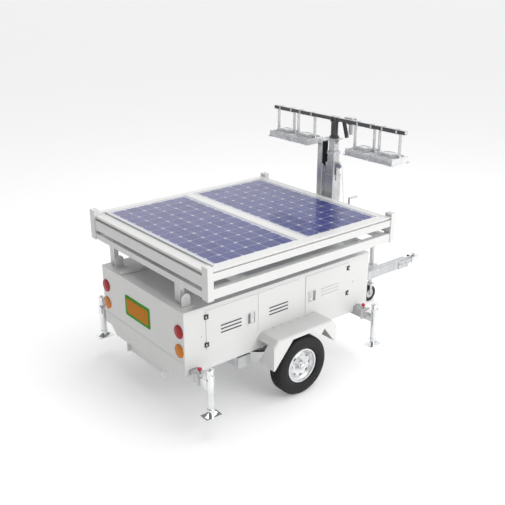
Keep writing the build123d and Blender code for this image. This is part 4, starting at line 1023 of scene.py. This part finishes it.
def lamp_parts():
    """One floodlight about its pivot axis: housing with fins, glass, light engine and fittings."""
    drop, case = 0.082, 0.060
    half_x, half_y = LAMP_LENGTH / 2, LAMP_WIDTH / 2
    body = bar("housing", (-half_x, -half_y, -drop + 0.002), (half_x, half_y, -drop + case), 0.006, 3)
    edit(body)
    take_faces(body, lambda middle, normal: normal.z < -0.9)
    bpy.ops.mesh.inset(thickness=0.014)
    bpy.ops.mesh.extrude_region_move(TRANSFORM_OT_translate={"value": (0, 0, 0.010)})
    take_faces(body, lambda middle, normal: normal.z > 0.9)
    bpy.ops.mesh.inset(thickness=0.020)
    bpy.ops.mesh.extrude_region_move(TRANSFORM_OT_translate={"value": (0, 0, 0.006)})
    bpy.ops.transform.resize(value=(0.97, 0.97, 1))
    done(body)
    metal = [body]
    for way in (-1, 1):
        for y in (-0.155, -0.06, 0.06, 0.155):
            metal.append(bar("rib", (min(way * 0.120, way * 0.134), y - 0.003, -drop + case - 0.002),
                             (max(way * 0.120, way * 0.134), y + 0.003, -drop + case + 0.022), 0.0012, 1))
    for y in (-0.160, 0.150):
        metal.append(bar("rail", (-0.120, y, -drop + case - 0.002),
                         (0.120, y + 0.010, -drop + case + 0.014), 0.002))
    for row in (-1, 0, 1):
        for step in range(-9, 10):
            x = step * 0.0125
            tall = 0.027 if abs(step) < 6 else 0.018
            metal.append(bar("fin", (x - 0.0016, row * 0.082 - 0.034, -drop + case + 0.003),
                             (x + 0.0016, row * 0.082 + 0.034, -drop + case + 0.004 + tall), 0.0012, 1))
    driver = bar("driver", (-0.059, -0.064, -0.018), (0.059, 0.064, 0.024), 0.005, 3)
    edit(driver)
    take_faces(driver, lambda middle, normal: normal.z > 0.9)
    bpy.ops.mesh.inset(thickness=0.010)
    bpy.ops.mesh.extrude_region_move(TRANSFORM_OT_translate={"value": (0, 0, -0.0025)})
    done(driver)
    metal.append(driver)
    fittings = []
    for way in (-1, 1):
        ear_low, ear_high = sorted((way * 0.129, way * 0.139))
        ear = bar("ear", (-0.018, ear_low, -drop + case), (0.018, ear_high, 0.016), 0.004, 3)
        metal.append(ear)
        fittings.append(turned("pivot", [(0.0078, -0.02), (0.0078, 0.0045), (0.0145, 0.0046),
                                         (0.0145, 0.0065),
                                         (0.011, 0.0066), (0.011, 0.0115), (0.009, 0.013)],
                               (0, way * 0.1465, 0), "Y" if way > 0 else "-Y", 24))
    fittings.append(turned("gland", [(0.009, 0), (0.009, 0.008), (0.0075, 0.010), (0.0075, 0.018),
                                     (0.004, 0.020)],
                           (0.062, 0.02, 0.010), "X", 18))
    glass = bar("glass", (-half_x + 0.0142, -half_y + 0.0142, -drop + 0.0030),
                (half_x - 0.0142, half_y - 0.0142, -drop + 0.0065), 0.0008, 1)
    places = [((column - 4) * 0.027, (row - 5) * 0.0265, -drop + 0.0118) for column in range(9)
              for row in range(11)]
    engine = spread("engine", turned("chip", [(0.0085, 0), (0.0085, 0.0012), (0.006, 0.0036),
                                              (0.002, 0.0046)],
                                     (0, 0, 0), "-Z", 12), places)
    return {"housing": joined("housing", metal), "fittings": joined("fittings", fittings), "glass": glass,
            "engine": engine}


def floodlights():
    models = lamp_parts()
    slots = {"housing": "cast_aluminium", "fittings": "bright_steel", "glass": "lamp_glass",
             "engine": "anodised"}
    for side_name, side in SIDES.items():
        for place, y in (("outer", 0.83), ("inner", 0.47)):
            node = f"floodlight_{side_name}_{place}"
            for part, model in models.items():
                piece = copied(model, f"lamp_{part}_{side_name}_{place}",
                               Vector((MAST_X, side * y, LAMP_PIVOT_Z)))
                nodes = [node] if part == "housing" else []
                dressed(piece, node, slots[part], *nodes)
    for model in models.values():
        removed(model)


def lamp_bar_trim():
    """Saddle clamps over the bar with their bolts, end caps, a sensor dome and studs under the bar."""
    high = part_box("light_bar")[1]
    half = 0.021
    centre_z = 2.617
    saddles, nuts = [], []
    for side in SIDES.values():
        for y in (0.83, 0.47):
            for step in (-0.10, 0.10):
                middle = side * y + step
                saddles.append(bar("saddle", (MAST_X - half - 0.006, middle - 0.012, centre_z + half),
                                   (MAST_X + half + 0.006, middle + 0.012, centre_z + half + 0.004), 0.001, 1))
                for way in (-1, 1):
                    edge = MAST_X + way * (half + 0.0035)
                    saddles.append(bar("saddle", (edge - 0.0025, middle - 0.012, centre_z - half - 0.005),
                                       (edge + 0.0025, middle + 0.012, centre_z + half + 0.004), 0.001, 1))
                    nuts.append((edge + way * 0.002, middle, centre_z))
    dressed(joined("bar_saddles", saddles), "lamp_head", "galvanised")
    for axis, way in (("X", 1), ("-X", -1)):
        name = "saddle_bolts_" + ("front" if way > 0 else "rear")
        places = [place for place in nuts if (place[0] - MAST_X) * way > 0]
        dressed(bolts(name, places, 0.006, 0.006, axis), "lamp_head", "bright_steel")
    caps = []
    for side in SIDES.values():
        ends = sorted((side * (high.y - 0.008), side * high.y))
        caps.append(bar("cap", (MAST_X - half + 0.003, ends[0], centre_z - half + 0.003),
                        (MAST_X + half - 0.003, ends[1], centre_z + half - 0.003), 0.002))
    dressed(joined("bar_end_caps", caps), "lamp_head", "black_plastic", material=finish["handle_grey"])
    dome = turned("sensor_dome", [(0.034, 0), (0.034, 0.012), (0.029, 0.014), (0.029, 0.085),
                                  (0.027, 0.104),
                                  (0.020, 0.119), (0.010, 0.127), (0.001, 0.129)], (0.540, -0.205, 2.578), "-Z", 36)
    dressed(dome, "lamp_head", "cast_aluminium")
    studs = [(MAST_X, side * (0.19 + step * 0.085), centre_z - half) for side in SIDES.values()
             for step in range(10)]
    dressed(bolts("bar_studs", studs, 0.006, 0.010, "-Z"), "lamp_head", "bright_steel")


# ---------------------------------------------------------------- camera, floor and lights
CAMERA_PLACE = Vector((-5.497, -5.856, 4.192))
CAMERA_YAW = radians(50.92)
CAMERA_PITCH = radians(-21.21)
CAMERA_LENS = 51.63


def camera():
    data = bpy.data.cameras.new("camera")
    data.lens = CAMERA_LENS
    data.clip_end = 500
    view = bpy.data.objects.new("camera", data)
    bpy.context.scene.collection.objects.link(view)
    view.location = CAMERA_PLACE
    look = Vector((cos(CAMERA_PITCH) * cos(CAMERA_YAW), cos(CAMERA_PITCH) * sin(CAMERA_YAW),
                   sin(CAMERA_PITCH)))
    view.rotation_euler = look.to_track_quat("-Z", "Y").to_euler()
    bpy.context.scene.camera = view


def floor():
    clear()
    bpy.ops.mesh.primitive_plane_add(size=400, location=(0, 0, 0))
    plane = bpy.context.object
    plane.name = "floor"
    pale = Finish("studio_floor", (0.96, 0.96, 0.96), 0.9, Emission_Color=(1, 1, 1, 1),
                  Emission_Strength=0.2)
    pale.colour(pale.blend(pale.noise(0.4, 2), (0.965, 0.965, 0.965), (0.95, 0.95, 0.95)))
    plane.data.materials.append(pale.material)


def area_light(name, place, target, size, power):
    data = bpy.data.lights.new(name, "AREA")
    data.shape = "SQUARE"
    data.size = size
    data.energy = power
    lamp = bpy.data.objects.new(name, data)
    bpy.context.scene.collection.objects.link(lamp)
    lamp.location = place
    lamp.rotation_euler = (Vector(target) - Vector(place)).to_track_quat("-Z", "Y").to_euler()


def lights():
    """A soft white surround, dimmer behind the tail, with a broad key light on the right."""
    world = bpy.data.worlds.new("studio")
    bpy.context.scene.world = world
    world.use_nodes = True
    nodes, links = world.node_tree.nodes, world.node_tree.links
    where = nodes.new("ShaderNodeTexCoord")
    parts = nodes.new("ShaderNodeSeparateXYZ")
    links.new(where.outputs["Generated"], parts.inputs[0])
    share = nodes.new("ShaderNodeMapRange")
    links.new(parts.outputs["X"], share.inputs["Value"])
    share.inputs["From Min"].default_value = -0.75
    share.inputs["From Max"].default_value = 0.45
    share.inputs["To Min"].default_value = 0.16
    share.inputs["To Max"].default_value = 1.08
    links.new(share.outputs[0], nodes["Background"].inputs["Strength"])
    nodes["Background"].inputs["Color"].default_value = (1, 1, 1, 1)
    area_light("key", (1.5, -9, 5.5), (-0.5, 0, 0.9), 5, 300)
    area_light("top", (0, 0, 9), (0, 0, 0), 7, 230)


def main():
    dress_frame_nodes()
    solar_cells()
    deck_trim()
    tail_lamps()
    rear_sign()
    cabinet_trim()
    panel_louvres()
    hinge_screws()
    hinge_leaves()
    handle_locks()
    tyres()
    wheel_hardware()
    fender_trim()
    jack_hardware()
    coupling_trim()
    jockey_trim()
    mast_collars()
    cable_coil()
    winch_trim()
    floodlights()
    lamp_bar_trim()
    camera()
    floor()
    lights()
    bpy.context.scene.view_settings.view_transform = "Standard"


main()
clear()
